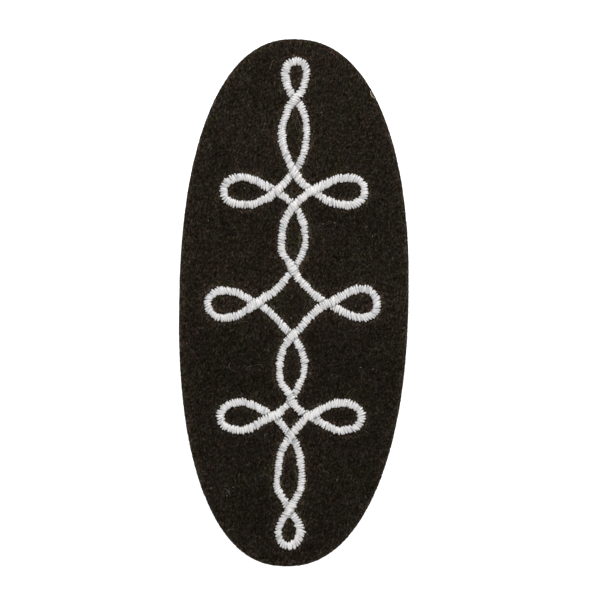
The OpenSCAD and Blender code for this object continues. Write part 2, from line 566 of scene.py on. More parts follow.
@dataclass(frozen=True)
class OvalCut:
    """The cut outline of the wool."""

    width: float = 38.6
    length: float = 89.0
    # How square the oval is: 2 is an ellipse
    fullness: float = 2.27
    # The cutter's sway, as a share of the size, with the turn and number of its swells
    sway: float = 0.0066
    sway_turn: float = 7.0
    swells: int = 3
    ring_points: int = 2400
    slope_step: float = 0.004

    def raw(self, turn: Array) -> Array:
        """The outline before it is brought to its size.

        Args:
            turn: Angles round the oval, in radians.

        Returns:
            A point for each angle.
        """
        power = 2 / self.fullness
        c, s = np.cos(turn), np.sin(turn)
        sway = 1 + self.sway * np.cos(self.swells * (turn - math.radians(self.sway_turn)))
        x = self.width / 2 * np.sign(c) * np.abs(c) ** power
        y = self.length / 2 * np.sign(s) * np.abs(s) ** power
        return np.stack([x * sway, y * sway], -1)

    def ring(self) -> Array:
        """Angles all the way round, in radians."""
        return np.linspace(0, math.tau, self.ring_points, endpoint=False)

    def edge(self, turn: Array) -> Array:
        """The outline at its stated size, with its middle on the origin.

        Args:
            turn: Angles round the oval, in radians.

        Returns:
            A point for each angle.
        """
        ring = self.raw(self.ring())
        low, high = ring.min(0), ring.max(0)
        size = np.array([self.width, self.length])
        return (self.raw(turn) - (low + high) / 2) * size / (high - low)

    def inset(self, turn: Array, depth: Array) -> Array:
        """The outline, moved straight in from the cut.

        Args:
            turn: Angles round the oval, in radians.
            depth: Distance in from the cut at each angle.

        Returns:
            A point for each angle.
        """
        along = self.edge(turn + self.slope_step) - self.edge(turn - self.slope_step)
        inward = unit(np.stack([-along[..., 1], along[..., 0]], -1))
        return self.edge(turn) + np.asarray(depth)[..., None] * inward

    def reach(self, points: Array) -> Array:
        """How far out points lie: 0 in the middle, about 1 on the cut, more outside it."""
        x, y = np.moveaxis(np.abs(points), -1, 0)
        x, y = x / (self.width / 2), y / (self.length / 2)
        return (x ** self.fullness + y ** self.fullness) ** (1 / self.fullness)

    @property
    def area(self) -> float:
        """Flat area of the cut, in square metres."""
        ring = self.edge(self.ring()) * MM
        after = np.roll(ring, -1, axis=0)
        return float(abs(np.sum(ring[:, 0] * after[:, 1] - ring[:, 1] * after[:, 0])) / 2)


# Finishes


class Nodes:
    """A material's node tree, with short ways to add nodes and join them."""

    def __init__(self, name: str) -> None:
        """Starts a material with one Principled shader.

        Args:
            name: The material's name.
        """
        self.material = bpy.data.materials.new(name)
        self.material.use_nodes = True
        self.tree = self.material.node_tree
        self.shader = self.tree.nodes["Principled BSDF"]

    def add(self, kind: str, **settings: object) -> bpy.types.Node:
        """Adds a node.

        Args:
            kind: The node's type.
            settings: Properties of the node, by name.

        Returns:
            The node.
        """
        node = self.tree.nodes.new(kind)
        for key, value in settings.items():
            setattr(node, key, value)
        return node

    def join(self, source: Socket, target: Socket) -> None:
        """Joins an output to an input."""
        self.tree.links.new(source, target)

    def object_space(self, stretch: Triple = (1.0, 1.0, 1.0), lean: float = 0.0) -> Socket:
        """Object coordinates in millimetres, turned and stretched.

        Args:
            stretch: How many times finer the pattern is along each axis.
            lean: Angle from +x of the axis that is stretched first, in degrees.

        Returns:
            The socket that gives them.
        """
        place = self.add("ShaderNodeTexCoord")
        mapping = self.add("ShaderNodeMapping", vector_type="TEXTURE")
        mapping.inputs["Rotation"].default_value = (0.0, 0.0, math.radians(lean))
        mapping.inputs["Scale"].default_value = tuple(1 / (times / MM) for times in stretch)
        self.join(place.outputs["Object"], mapping.inputs["Vector"])
        return mapping.outputs["Vector"]

    def cloud(self, space: Socket, scale: float, detail: float = 4.0,
              rough: float = 0.6, swirl: float = 0.0) -> Socket:
        """Cloudy noise.

        Args:
            space: Where its coordinates come from.
            scale: How many clumps go to a unit of them.
            detail: Number of finer layers.
            rough: Strength of the finer layers.
            swirl: How much it is distorted.

        Returns:
            The socket that gives its value.
        """
        node = self.add("ShaderNodeTexNoise")
        node.inputs["Scale"].default_value = scale
        node.inputs["Detail"].default_value = detail
        node.inputs["Roughness"].default_value = rough
        node.inputs["Distortion"].default_value = swirl
        self.join(space, node.inputs["Vector"])
        return node.outputs["Fac"]

    def ramp(self, source: Socket, places: Row, colours: tuple[float | Colour, ...]) -> Socket:
        """A colour for each value.

        Args:
            source: The socket that gives the value.
            places: Values from 0 to 1.
            colours: The colour, or the grey, at each of them.

        Returns:
            The socket that gives the colour.
        """
        node = self.add("ShaderNodeValToRGB")
        marks = node.color_ramp.elements
        while len(marks) < len(places):
            marks.new(1.0)
        for mark, at, colour in zip(marks, places, colours):
            mark.position = at
            mark.color = (*(colour if isinstance(colour, tuple) else (colour,) * 3), 1.0)
        self.join(source, node.inputs["Fac"])
        return node.outputs["Color"]

    def tint(self, first: Socket, second: Socket) -> Socket:
        """Multiplies two colours.

        Args:
            first: One colour.
            second: The other.

        Returns:
            The socket that gives the tinted colour.
        """
        node = self.add("ShaderNodeMix", data_type="RGBA", blend_type="MULTIPLY")
        node.inputs["Factor"].default_value = 1.0
        self.join(first, node.inputs[MIX_FIRST])
        self.join(second, node.inputs[MIX_SECOND])
        return node.outputs[MIX_RESULT]

    def relief(self, *layers: tuple[Socket, float, float]) -> None:
        """Puts bump on the shader.

        Args:
            layers: For each layer its height socket, its strength and its depth in millimetres.
        """
        target = self.shader.inputs["Normal"]
        for height, strength, depth in reversed(layers):
            bump = self.add("ShaderNodeBump")
            bump.inputs["Strength"].default_value = strength
            bump.inputs["Distance"].default_value = depth * MM
            self.join(height, bump.inputs["Height"])
            self.join(bump.outputs["Normal"], target)
            target = bump.inputs["Normal"]

    def set(self, **values: float | Row) -> None:
        """Sets the shader's own sockets, named with _ for a space."""
        for key, value in values.items():
            self.shader.inputs[key.replace("_", " ")].default_value = value


@dataclass(frozen=True)
class WoolFinish:
    """Brown-black milled wool with a matted nap, paler where its pale attribute says so, which holds
    painted rim light and painted bounce light.
    """

    name: str = "milled_wool"
    # Colour of the pits, of most of the nap and of its crests, and where the last begins: the fibres'
    # own mottling, with painted shade in the pits
    pit: Colour = (0.0041, 0.0024, 0.0010)
    mid: Colour = (0.0200, 0.0151, 0.0106)
    crest: Colour = (0.083, 0.0735, 0.0632)
    nap_stops: Triple = (0.3, 0.5, 0.72)
    # Shade between the tufts
    tuft_shade: float = 0.44
    tuft_stops: Pair = (0.32, 0.68)
    # Tints of the clumps, which differ in their dye
    olive: Colour = (0.86, 0.925, 0.63)
    neutral: Colour = (0.95, 0.89, 0.80)
    red: Colour = (1.0, 0.83, 0.755)
    dye_stops: Triple = (0.39, 0.49, 0.6)
    # How many times its plain colour the wool is where its pale attribute is 1
    palest: float = 3.0
    # Sizes of the clumps, the tufts and the fibres, and how many hairs go to a millimetre
    clump: float = 4.0
    tuft: float = 0.75
    fibre: float = 0.33
    hairs: float = 7.0
    # The way that the fibres lie, in degrees from +x, and how they and the hairs are drawn out
    lean: float = 75.0
    fibre_stretch: Triple = (0.72, 1.12, 1.0)
    hair_stretch: Triple = (1.0, 2.6, 1.0)
    # Depth of their relief, and the strength of the hairs', which is less than full
    tuft_relief: float = 0.3
    fibre_relief: float = 0.2
    hair_relief: float = 0.05
    hair_strength: float = 0.6
    sheen_tint: Colour = (0.8, 0.68, 0.54)

    def material(self) -> Material:
        """Makes the wool's material.

        Returns:
            The material.
        """
        nodes = Nodes(self.name)
        space = nodes.object_space()
        fibre_space = nodes.object_space(self.fibre_stretch, self.lean)
        fine = nodes.cloud(fibre_space, 1 / self.fibre, detail=2.0, swirl=0.5)
        tufts = nodes.cloud(space, 1 / self.tuft, detail=2.0, swirl=0.3)
        # Fine nap colour: darker pits as painted shade, on the same noise as the fibres' bump
        colour = nodes.ramp(fine, self.nap_stops, (self.pit, self.mid, self.crest))
        shade = nodes.ramp(tufts, self.tuft_stops, (self.tuft_shade, 1.0))
        colour = nodes.tint(colour, shade)
        clumps = nodes.cloud(space, 1 / self.clump, detail=3.0, rough=0.9, swirl=0.2)
        dyes = nodes.ramp(clumps, self.dye_stops, (self.olive, self.neutral, self.red))
        colour = nodes.tint(colour, dyes)
        # The pale attribute holds painted rim light at the cut and painted bounce light beside the
        # stitches
        pale = nodes.add("ShaderNodeAttribute", attribute_name="pale")
        paler = nodes.ramp(pale.outputs["Fac"], (0.0, 1.0), (0.0, self.palest))
        nodes.join(nodes.tint(colour, paler), nodes.shader.inputs["Base Color"])
        hair_space = nodes.object_space(self.hair_stretch, self.lean)
        hairs = nodes.cloud(hair_space, self.hairs, detail=3.0, swirl=1.5)
        nodes.relief((tufts, 1.0, self.tuft_relief), (fine, 1.0, self.fibre_relief),
                     (hairs, self.hair_strength, self.hair_relief))
        nodes.set(Roughness=0.95, Sheen_Weight=0.02, Sheen_Roughness=0.5,
                  Sheen_Tint=(*self.sheen_tint, 1.0), Specular_IOR_Level=0.02)
        return nodes.material


@dataclass(frozen=True)
class HairFinish:
    """Single wool hairs, each dyed a little differently by its dye attribute."""

    name: str = "wool_hair"
    # How much darker the bands along a hair are, and how many go to a millimetre
    band_shade: float = 0.7
    bands: float = 3.0
    band_stops: Pair = (0.3, 0.7)

    def material(self) -> Material:
        """Makes the material of the loose hairs.

        Returns:
            The material.
        """
        nodes = Nodes(self.name)
        dye = nodes.add("ShaderNodeAttribute", attribute_name="dye")
        bands = nodes.cloud(nodes.object_space(), self.bands, detail=2.0)
        shade = nodes.ramp(bands, self.band_stops, (self.band_shade, 1.0))
        nodes.join(nodes.tint(dye.outputs["Color"], shade), nodes.shader.inputs["Base Color"])
        nodes.set(Roughness=0.6, Specular_IOR_Level=0.06)
        return nodes.material


@dataclass(frozen=True)
class ThreadFinish:
    """White twisted thread with a soft satin lustre."""

    name: str = "white_thread"
    # Colour by tone: painted shade where another pass presses a thread down, painted shade at its hole,
    # plain over the line, and a painted highlight where it shines
    groove_shade: Colour = (0.20, 0.19, 0.18)
    root: Colour = (0.48, 0.49, 0.51)
    crest: Colour = (0.833, 0.822, 0.817)
    tip: Colour = (0.945, 0.925, 0.905)
    tones: tuple[float, float, float, float] = (0.0, 0.15, 0.53, 1.0)
    # Tone of the padding threads: grey, as painted shade under the stitches
    padding_tone: float = 0.17
    # Shade between the filaments, and how finely they lie across a thread and along it
    filament_shade: Colour = (0.86, 0.86, 0.87)
    filament_stops: Pair = (0.3, 0.65)
    filaments: Triple = (9.0, 0.9, 1.0)
    filament_scale: float = 3.0
    # Depth and strength of their relief
    filament_relief: float = 0.03
    filament_strength: float = 0.5

    def material(self) -> Material:
        """Makes the thread's material.

        Returns:
            The material.
        """
        nodes = Nodes(self.name)
        tone = nodes.add("ShaderNodeAttribute", attribute_name="tone")
        # Painted shade, plain colour and painted highlight, in order of tone
        colours = (self.groove_shade, self.root, self.crest, self.tip)
        colour = nodes.ramp(tone.outputs["Fac"], self.tones, colours)
        along = nodes.add("ShaderNodeUVMap", uv_map="thread")
        stretch = nodes.add("ShaderNodeMapping")
        stretch.inputs["Scale"].default_value = self.filaments
        nodes.join(along.outputs["UV"], stretch.inputs["Vector"])
        fine = nodes.cloud(stretch.outputs["Vector"], self.filament_scale, detail=3.0, rough=0.65)
        streaks = nodes.ramp(fine, self.filament_stops, (self.filament_shade, 1.0))
        nodes.join(nodes.tint(colour, streaks), nodes.shader.inputs["Base Color"])
        nodes.relief((fine, self.filament_strength, self.filament_relief))
        nodes.set(Roughness=0.23, Sheen_Weight=0.1, Sheen_Roughness=0.35, Specular_IOR_Level=0.8)
        return nodes.material


@dataclass(frozen=True)
class TableFinish:
    """The plain white table of a studio, which glows a little."""

    name: str = "pale_table"
    colour: Colour = (0.9, 0.9, 0.9)
    glow: float = 0.7

    def material(self) -> Material:
        """Makes the table's material.

        Returns:
            The material.
        """
        nodes = Nodes(self.name)
        nodes.set(Base_Color=(*self.colour, 1.0), Roughness=0.8, Specular_IOR_Level=0.0,
                  Emission_Color=(1.0, 1.0, 1.0, 1.0), Emission_Strength=self.glow)
        return nodes.material


# Strands that are modelled once and laid many times


@dataclass(frozen=True)
class StrandForm:
    """A straight strand one unit long and one thick, along +Z.

    A thread is nipped along two sides, which shows its two plies, and twisted. A hair is plain.
    """

    sides: int
    rings: int
    waist: float = 1.0
    twist: float = 0.0
    end_size: float = 1.0
    # How close to a plane a vertex counts as on it
    near: float = 0.01

    def model(self) -> "Strand":
        """Models the strand.

        Returns:
            The strand, ready to be laid.
        """
        start_modelling()
        bpy.ops.mesh.primitive_cylinder_add(
            vertices=self.sides, radius=0.5, depth=1.0, location=(0, 0, 0.5), end_fill_type="NGON")
        obj = bpy.context.object
        bpy.ops.object.transform_apply(location=True)
        bpy.ops.object.mode_set(mode="EDIT")
        bpy.ops.mesh.select_mode(type="EDGE")
        self.pick(obj, "edges", lambda edge: self.rise(obj, edge) > self.near)
        bpy.ops.mesh.subdivide(number_cuts=self.rings - 2)
        bpy.ops.mesh.select_mode(type="VERT")
        if self.waist < 1.0:
            self.pick(obj, "vertices", lambda point: abs(point.co.x) < self.near)
            bpy.ops.transform.resize(value=(1, self.waist, 1), center_override=(0, 0, 0.5))
        for ring in range(self.rings):
            height = ring / (self.rings - 1)
            self.pick(obj, "vertices", lambda point: abs(point.co.z - height) < self.near)
            if self.twist:
                bpy.ops.transform.rotate(value=math.radians(self.twist * height), orient_axis="Z",
                                         center_override=(0, 0, height))
            if ring in (0, self.rings - 1) and self.end_size < 1.0:
                bpy.ops.transform.resize(value=(self.end_size, self.end_size, 1),
                                         center_override=(0, 0, height))
        turn_faces_out()
        bpy.ops.object.mode_set(mode="OBJECT")
        strand = Strand.read(obj, self.rings)
        bpy.data.objects.remove(obj, do_unlink=True)
        return strand

    @staticmethod
    def pick(obj: Piece, kind: str, wanted: Callable[..., bool]) -> None:
        """Selects the edges or the vertices that a test picks."""
        bpy.ops.mesh.select_all(action="DESELECT")
        bpy.ops.object.mode_set(mode="OBJECT")
        for item in getattr(obj.data, kind):
            item.select = wanted(item)
        bpy.ops.object.mode_set(mode="EDIT")

    @staticmethod
    def rise(obj: Piece, edge: bpy.types.MeshEdge) -> float:
        """How far up the strand an edge goes."""
        low, high = (obj.data.vertices[end].co.z for end in edge.vertices)
        return abs(high - low)


@dataclass
class Strand:
    """The mesh of a modelled strand: sections on rings, and the faces between them.

    The faces and their corners on the UV map are sorted by their number of corners.
    """

    section: Array
    ring: Array
    faces: dict[int, Array]
    corner_uv: dict[int, Array]
    # How far each strand's UV map is from the last one's, and where it starts again
    uv_step: Pair = (0.37, 0.61)
    uv_span: Pair = (1.0, 7.0)

    @classmethod
    def read(cls, obj: Piece, rings: int) -> "Strand":
        """Reads the strand from its object.

        Args:
            obj: The modelled strand.
            rings: How many rings it has.

        Returns:
            The strand.
        """
        points = read_points(obj) * MM
        ring = np.rint(points[:, 2] * (rings - 1)).astype(int)
        uv = np.array([loop.uv[:] for loop in obj.data.uv_layers.active.data])
        faces: dict[int, list[list[int]]] = {}
        corners: dict[int, list[Array]] = {}
        for face in obj.data.polygons:
            faces.setdefault(len(face.vertices), []).append(list(face.vertices))
            corners.setdefault(len(face.vertices), []).append(uv[list(face.loop_indices)])
        return cls(points[:, :2], ring, {k: np.array(v) for k, v in faces.items()},
                   {k: np.array(v) for k, v in corners.items()})

    def lay(self, name: str, paths: "Paths") -> Piece:
        """Lays one copy of the strand along each path, all in one mesh.

        Args:
            name: Name of the new piece.
            paths: Where the copies go.

        Returns:
            The piece, with its place in its mesh.
        """
        count, each = len(paths.centre), len(self.section)
        cos, sin = np.cos(paths.phase)[:, None], np.sin(paths.phase)[:, None]
        x, y = self.section.T
        across, up = x * cos - y * sin, x * sin + y * cos
        at = self.ring
        points = (
            paths.centre[:, at]
            + (paths.width[:, at] * across)[..., None] * paths.side[:, at]
            + (paths.thick[:, at] * up)[..., None] * paths.rise[:, at]
        )
        first = (np.arange(count) * each)[:, None, None]
        faces: list[list[int]] = []
        corners: list[Array] = []
        spread = np.arange(count)[:, None] * self.uv_step % self.uv_span
        for size, own in self.faces.items():
            faces += (own[None] + first).reshape(-1, size).tolist()
            uv = self.corner_uv[size].reshape(1, -1, 2) + spread[:, None]
            corners.append(uv.reshape(-1, 2))
        mesh = bpy.data.meshes.new(name)
        mesh.from_pydata((points.reshape(-1, 3) * MM).tolist(), [], faces)
        layer = mesh.uv_layers.new(name="thread")
        layer.data.foreach_set("uv", np.vstack(corners).ravel())
        mesh.shade_smooth()
        obj = bpy.data.objects.new(name, mesh)
        bpy.context.scene.collection.objects.link(obj)
        return obj

    def point_values(self, values: Array) -> Array:
        """Values on each strand's rings, spread to all of the piece's vertices."""
        return values[:, self.ring].ravel()

    def dye(self, piece: Piece, dyes: Array) -> None:
        """Dyes each strand of a piece that was laid from this one.

        Args:
            piece: The piece.
            dyes: The colour of each strand.
        """
        colour = piece.data.attributes.new("dye", "FLOAT_COLOR", "POINT")
        each = np.repeat(np.column_stack([dyes, np.ones(len(dyes))]), len(self.section), axis=0)
        colour.data.foreach_set("color", each.ravel())


@dataclass
class Paths:
    """Where strands go: on each ring of each its middle, its axes and its size."""

    centre: Array
    side: Array
    rise: Array
    width: Array
    thick: Array
    phase: Array

    @classmethod
    def along(cls, centre: Array, side: Array, width: Array, thick: Array, phase: Array,
              roll: Array | None = None) -> "Paths":
        """Paths along rows of points.

        Args:
            centre: The points of each path.
            side: The direction that the width takes, for each path or each ring.
            width: Width on each ring.
            thick: Thickness on each ring.
            phase: Turn of each strand's section.
            roll: Lean of each strand's width about its path, if it has any.

        Returns:
            The paths.
        """
        along = unit(np.gradient(centre, axis=1))
        across = side if side.ndim == 3 else np.broadcast_to(side[:, None, :], centre.shape)
        rise = unit(np.cross(along, across))
        across = unit(np.cross(rise, along))
        if roll is not None:
            c, s = np.cos(roll)[:, None, None], np.sin(roll)[:, None, None]
            across, rise = across * c + rise * s, rise * c - across * s
        return cls(centre, across, rise, width, thick, phase)

    def chosen(self, own: Array) -> "Paths":
        """Only some of the paths."""
        return Paths(*(values[own] for values in vars(self).values()))


# The wool


@dataclass
class WoolOval:
    """The oval of thick milled wool, pressed down under the stitches and worn at its cut."""

    cut: OvalCut
    courses: tuple[Course, ...]
    thickness: float = 2.0
    columns: int = 160
    rows: int = 372
    # The nap, the tufts and the rows left by the weave below them, which swing: sizes and depths
    nap: Cloud = Cloud(0.8, 4, 11.3)
    nap_depth: float = 0.09
    tufts: Cloud = Cloud(0.42, 2, 47.9)
    tuft_depth: float = 0.07
    row_pitch: float = 0.82
    row_depth: float = 0.02
    row_swing: float = 0.35
    swing: Cloud = Cloud(5.0, 1, 83.1)
    # The furrow that the stitches press: depth, half width, fade, and calm of the nap in it
    furrow_depth: float = 0.13
    furrow_edge: float = 0.7
    furrow_fade: float = 0.3
    furrow_calm: float = 0.25
    # How far in from the cut, and how high, each row of the worn edge lies, from the front
    edge_rows: tuple[Pair, ...] = (
        (0.42, 2.0), (0.21, 1.94), (0.05, 1.8), (-0.035, 1.52), (-0.06, 1.05), (-0.035, 0.55),
        (0.04, 0.2),
    )
    edge_blend: int = 3
    # How ragged the cut is, at which heights the raggedness begins, and how far out it may go
    ragged: Cloud = Cloud(1.1, 3, 5.7)
    ragged_depth: float = 0.045
    ragged_round: float = 40.0
    ragged_tall: float = 2.5
    ragged_heights: Triple = (1.8, 1.94, 2.0)
    outmost: float = -0.12
    # The back: how far in from the cut it ends, and how far its pits lift it off the table
    back_inset: float = 0.2
    back_lift: float = 0.02
    back_pits: Cloud = Cloud(1.0, 3, 29.0)
    back_share: int = 4
    # Painted rim light: how much paler the wool is at the cut, over how far; and how much paler a wider
    # band there is, over how far
    cut_rim_light: Pair = (0.75, 0.6)
    band_pale: Pair = (0.14, 3.0)
    # How much of the painted rim light at the cut is left on the wall below it, and between which
    # heights it goes
    wall_rim_light: float = 0.2
    wall_heights: Pair = (1.2, 1.8)
    # Painted bounce light from the white thread: how much paler the wool is beside the stitches, over
    # how far, and from this far off the middle of the line
    line_bounce_light: Pair = (0.5, 0.3)
    line_edge: float = 1.2
    line_inner: float = 0.3
    # How much paler the wool is towards the crown and darker towards the foot, and how its depth of
    # colour drifts in clouds
    drift: float = 0.18
    dye_cloud: Cloud = Cloud(16.0, 2, 71.7)
    dye_depth: float = 0.2
    # Every so many stations of the line, and so many points of the cut, distances are taken from
    line_skip: int = 5
    cut_points: int = 3000

    def __post_init__(self) -> None:
        """Gathers places on the line and the cut, from which distances to them are found."""
        turns = np.linspace(0, math.tau, self.cut_points, endpoint=False)
        line = np.vstack([course.spot[::self.line_skip] for course in self.courses])
        self.line_tree = self.plant(line)
        self.cut_tree = self.plant(self.cut.edge(turns))

    @staticmethod
    def plant(spots: Array) -> kdtree.KDTree:
        """Sets places out so that the nearest one is found quickly."""
        tree = kdtree.KDTree(len(spots))
        for number, spot in enumerate(raised(spots).tolist()):
            tree.insert(spot, number)
        tree.balance()
        return tree

    @staticmethod
    def distance(tree: kdtree.KDTree, points: Array) -> Array:
        """Distance of each point of the face from the nearest place of a tree."""
        return np.array([tree.find(point)[2] for point in raised(points).tolist()])

    def line_distance(self, points: Array) -> Array:
        """Distance of each point of the face from the middle of the nearest line."""
        return self.distance(self.line_tree, points)

    def pale(self, points: Array, height: float | Array = 2.0) -> Array:
        """How pale the wool is against its plain colour, with painted rim light and bounce light in it:
        1 is plain.

        Args:
            points: Places on the wool, seen from above.
            height: Their height.

        Returns:
            The share at each.
        """
        from_cut = self.distance(self.cut_tree, points)
        # Painted bounce light beside the stitches
        beside = np.maximum(self.line_distance(points) - self.line_edge, -self.line_inner)
        # Painted rim light, which fades on the wall below the cut
        worn = np.interp(height, self.wall_heights, (self.wall_rim_light, 1.0))
        # Paler towards the crown, darker towards the foot
        share = 1 + self.drift * points[:, 1] / (self.cut.length / 2)
        share = share + self.dye_depth * self.dye_cloud.at(points)
        fades = ((self.cut_rim_light, worn, from_cut), (self.band_pale, 1.0, from_cut),
                 (self.line_bounce_light, 1.0, beside))
        for (most, length), part, away in fades:
            share = share + part * most * np.exp(-away / length)
        return share

    def surface(self, points: Array) -> Array:
        """Height of the wool's face.

        Args:
            points: Places on the face.

        Returns:
            The height at each.
        """
        nap = self.nap_depth * self.nap.at(points)
        tuft = self.tuft_depth * self.tufts.at(points)
        row = points[:, 1] / self.row_pitch + self.row_swing * self.swing.at(points)
        rows = self.row_depth * np.sin(math.tau * row)
        distance = self.line_distance(points)
        away = np.maximum((distance - self.furrow_edge) / self.furrow_fade, 0)
        furrow = self.furrow_depth * np.exp(-away * away)
        calm = np.clip(distance / self.furrow_edge, self.furrow_calm, 1)
        return self.thickness + (nap + tuft + rows) * calm - furrow

    def wall(self, turn: Array, height: Array, out: float | Array = 0.0) -> Array:
        """Places on the cut edge, or a little way out from it.

        Args:
            turn: The way to each from the middle of the patch, in radians.
            height: Its height.
            out: How far out from the wool it lies.

        Returns:
            The places, seen from above.
        """
        insets, heights = zip(*reversed(self.edge_rows))
        ring = np.stack([np.cos(turn) * self.ragged_round, np.sin(turn) * self.ragged_round,
                         height * self.ragged_tall], 1)
        below = np.interp(height, self.ragged_heights, (1.0, 0.5, 0.0))
        ragged = self.ragged_depth * self.ragged.at(ring) * below
        depth = np.maximum(np.interp(height, heights, insets) + ragged, self.outmost)
        return self.cut.inset(turn, depth - out)

    @staticmethod
    def to_disk(points: Array) -> tuple[Array, Array]:
        """Turns a square grid into a round one.

        Args:
            points: Grid points from -1 to 1.

        Returns:
            Each point's distance from the middle, from 0 to 1, and its angle.
        """
        x = points[:, 0] * np.sqrt(1 - points[:, 1] ** 2 / 2)
        y = points[:, 1] * np.sqrt(1 - points[:, 0] ** 2 / 2)
        return np.hypot(x, y), np.arctan2(y, x)

    def face(self) -> Piece:
        """Models the napped face and the cut edge that goes down from it.

        Returns:
            The face with its edge, open below.
        """
        start_modelling()
        bpy.ops.mesh.primitive_grid_add(
            x_subdivisions=self.columns, y_subdivisions=self.rows, size=2.0)
        obj = bpy.context.object
        bpy.ops.object.mode_set(mode="EDIT")
        pick_rim()
        step = 0.1
        for _ in self.edge_rows[1:]:
            bpy.ops.mesh.extrude_region_move(TRANSFORM_OT_translate={"value": (0, 0, -step)})
        bpy.ops.object.mode_set(mode="OBJECT")
        grid = read_points(obj) * MM
        row = np.rint(-grid[:, 2] / step).astype(int)
        share, turn = self.to_disk(grid[:, :2])
        height = np.array([edge_row[1] for edge_row in self.edge_rows])[row]
        flat = self.wall(turn, height) * np.where(row > 0, 1.0, share)[:, None]
        top = self.surface(flat)
        # The nap of the face fades out over the first rows below it
        plain = row / self.edge_blend
        drop = height - self.thickness
        edge = top * smooth(1 - plain) + self.thickness * smooth(plain) + drop
        move_points(obj, raised(flat, np.where(row == 0, top, edge)))
        return obj

    def back(self) -> Piece:
        """Models the plain back, which lies on the table.

        Returns:
            The back.
        """
        start_modelling()
        bpy.ops.mesh.primitive_grid_add(
            x_subdivisions=self.columns // self.back_share,
            y_subdivisions=self.rows // self.back_share, size=2.0)
        obj = bpy.context.object
        bpy.ops.object.mode_set(mode="EDIT")
        bpy.ops.mesh.select_all(action="SELECT")
        bpy.ops.mesh.flip_normals()
        bpy.ops.object.mode_set(mode="OBJECT")
        share, turn = self.to_disk(read_points(obj)[:, :2] * MM)
        flat = self.cut.inset(turn, np.full(len(turn), self.back_inset)) * share[:, None]
        lift = self.back_lift * (1 + np.clip(self.back_pits.at(flat), -1, 1))
        move_points(obj, raised(flat, lift))
        return obj

    def build(self, finish: WoolFinish) -> Piece:
        """Joins the face to the back and dresses the wool.

        Args:
            finish: The wool's finish.

        Returns:
            The finished piece.
        """
        face, back = self.face(), self.back()
        start_modelling()
        back.select_set(True)
        face.select_set(True)
        bpy.context.view_layer.objects.active = face
        bpy.ops.object.join()
        bpy.ops.object.mode_set(mode="EDIT")
        pick_rim()
        bpy.ops.mesh.bridge_edge_loops()
        turn_faces_out()
        bpy.ops.object.mode_set(mode="OBJECT")
        face.name = face.data.name = "wool_oval"
        face.data.shade_smooth()
        face.data.materials.clear()
        face.data.materials.append(finish.material())
        points = read_points(face)
        mark(face, "pale", self.pale(points[:, :2], points[:, 2]) / finish.palest)
        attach(face, "root")
        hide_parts("wool_ground")
        return face


# The satin stitching


@dataclass(frozen=True)
class Needle:
    """How unevenly the needle went down along the two edges of the line."""

    # How far the points of the threads stand past the full width, and past that on a crossing
    past_edge: float = 0.011
    over_spread: float = 0.06
    # How far each edge strays from its place, and how far both of them do together
    edge_wander: float = 0.04
    edge_step: float = 0.6
    sway: float = 0.04
    sway_step: float = 1.1
    # How far every other hole of an edge lies out and the rest in, and how that comes and goes
    other_reach: float = 0.022
    other_share: float = 0.7
    other_step: float = 1.4
    # Inside a tight bend every other stitch is shorter: by how much, and from which tightness
    short_stitch: float = 0.1
    tight_radius: float = 2.6
    tight_from: float = 0.6
    tight_span: float = 0.5
    # How far each hole strays across the line and along it, and how unevenly the holes follow
    edge_jitter: float = 0.066
    hole_jitter: float = 0.048
    gap_jitter: float = 0.045
    # How far the slant may move a hole along the line
    lean_most: float = 0.5

    def reaches(self, course: Course, station: Array, hand: Array, over: Array, draw: Draw) -> Array:
        """How far from the middle of the line the needle went down.

        Args:
            course: The half of the line.
            station: The station of each hole.
            hand: Its edge: 1 for the right hand of the way that the line runs, -1 for the left.
            over: How much the line lies over another pass there, from 0 to 1.
            draw: The random source.

        Returns:
            The distance of each hole.
        """
        count, bend = len(station), course.bend(station)
        every_other = (np.arange(count) // 2) % 2 == 0
        reach = np.interp(station, course.station, course.width) / 2 + self.past_edge
        for side in (-1, 1):
            swing = wander(station, course.length, self.edge_step, draw)
            reach += np.where(hand == side, self.edge_wander * swing, 0.0)
        reach += self.sway * hand * wander(station, course.length, self.sway_step, draw)
        reach += self.over_spread * over
        swing = wander(station, course.length, self.other_step, draw)
        reach += np.where(every_other, self.other_reach, -self.other_reach) * (self.other_share + swing)
        tight = smooth((np.abs(bend) * self.tight_radius - self.tight_from) / self.tight_span)
        inner = (bend * -hand) > 0
        reach -= self.short_stitch * tight * inner * every_other
        return reach + draw.normal(size=count) * self.edge_jitter


@dataclass(frozen=True)
class StitchTone:
    """How bright a stitch is from its holes up to its top, from 0 to 1, and what changes it, as painted
    light and shade.
    """

    # Painted shade at the holes, a painted highlight on the slopes near them, and a greyer top
    heights: Row = (0.0, 0.3, 0.7, 0.9, 1.0)
    tones: Row = (0.1, 0.8, 0.75, 0.55, 0.42)
    # Changes from stitch to stitch at random, and painted sheen by turns and along the line
    jitter: float = 0.18
    by_turns: float = 0.07
    wander: float = 0.03
    step: float = 0.5
    # Painted light on a stitch that lies over another pass, painted shade where one presses, and the
    # least tone before them
    on_top: float = 0.16
    pressed: float = -2.8
    dullest: float = 0.15

    def on(self, arch: Array, turns: Array, swing: Array, on_top: Array, press: Array,
           draw: Draw) -> Array:
        """The tone on each ring of each stitch.

        Args:
            arch: Share of its height that each ring has.
            turns: 1 and -1 by turns, for each stitch.
            swing: How the tone wanders along the line, at each stitch.
            on_top: How much each stitch lies over another pass, from 0 to 1.
            press: How deep each ring is pressed by another pass.
            draw: The random source.

        Returns:
            The tones.
        """
        # Painted sheen: brighter and duller threads by turns and along the line
        sheen = self.wander * swing + self.by_turns * turns
        tone = np.interp(arch, self.heights, self.tones)
        tone = tone + draw.normal(size=(len(turns), 1)) * self.jitter + sheen[:, None]
        tone = self.dullest + (1 - self.dullest) * np.maximum(tone, 0)
        # Painted light over another pass, painted shade in the grooves that one presses
        return tone + self.on_top * on_top + self.pressed * press


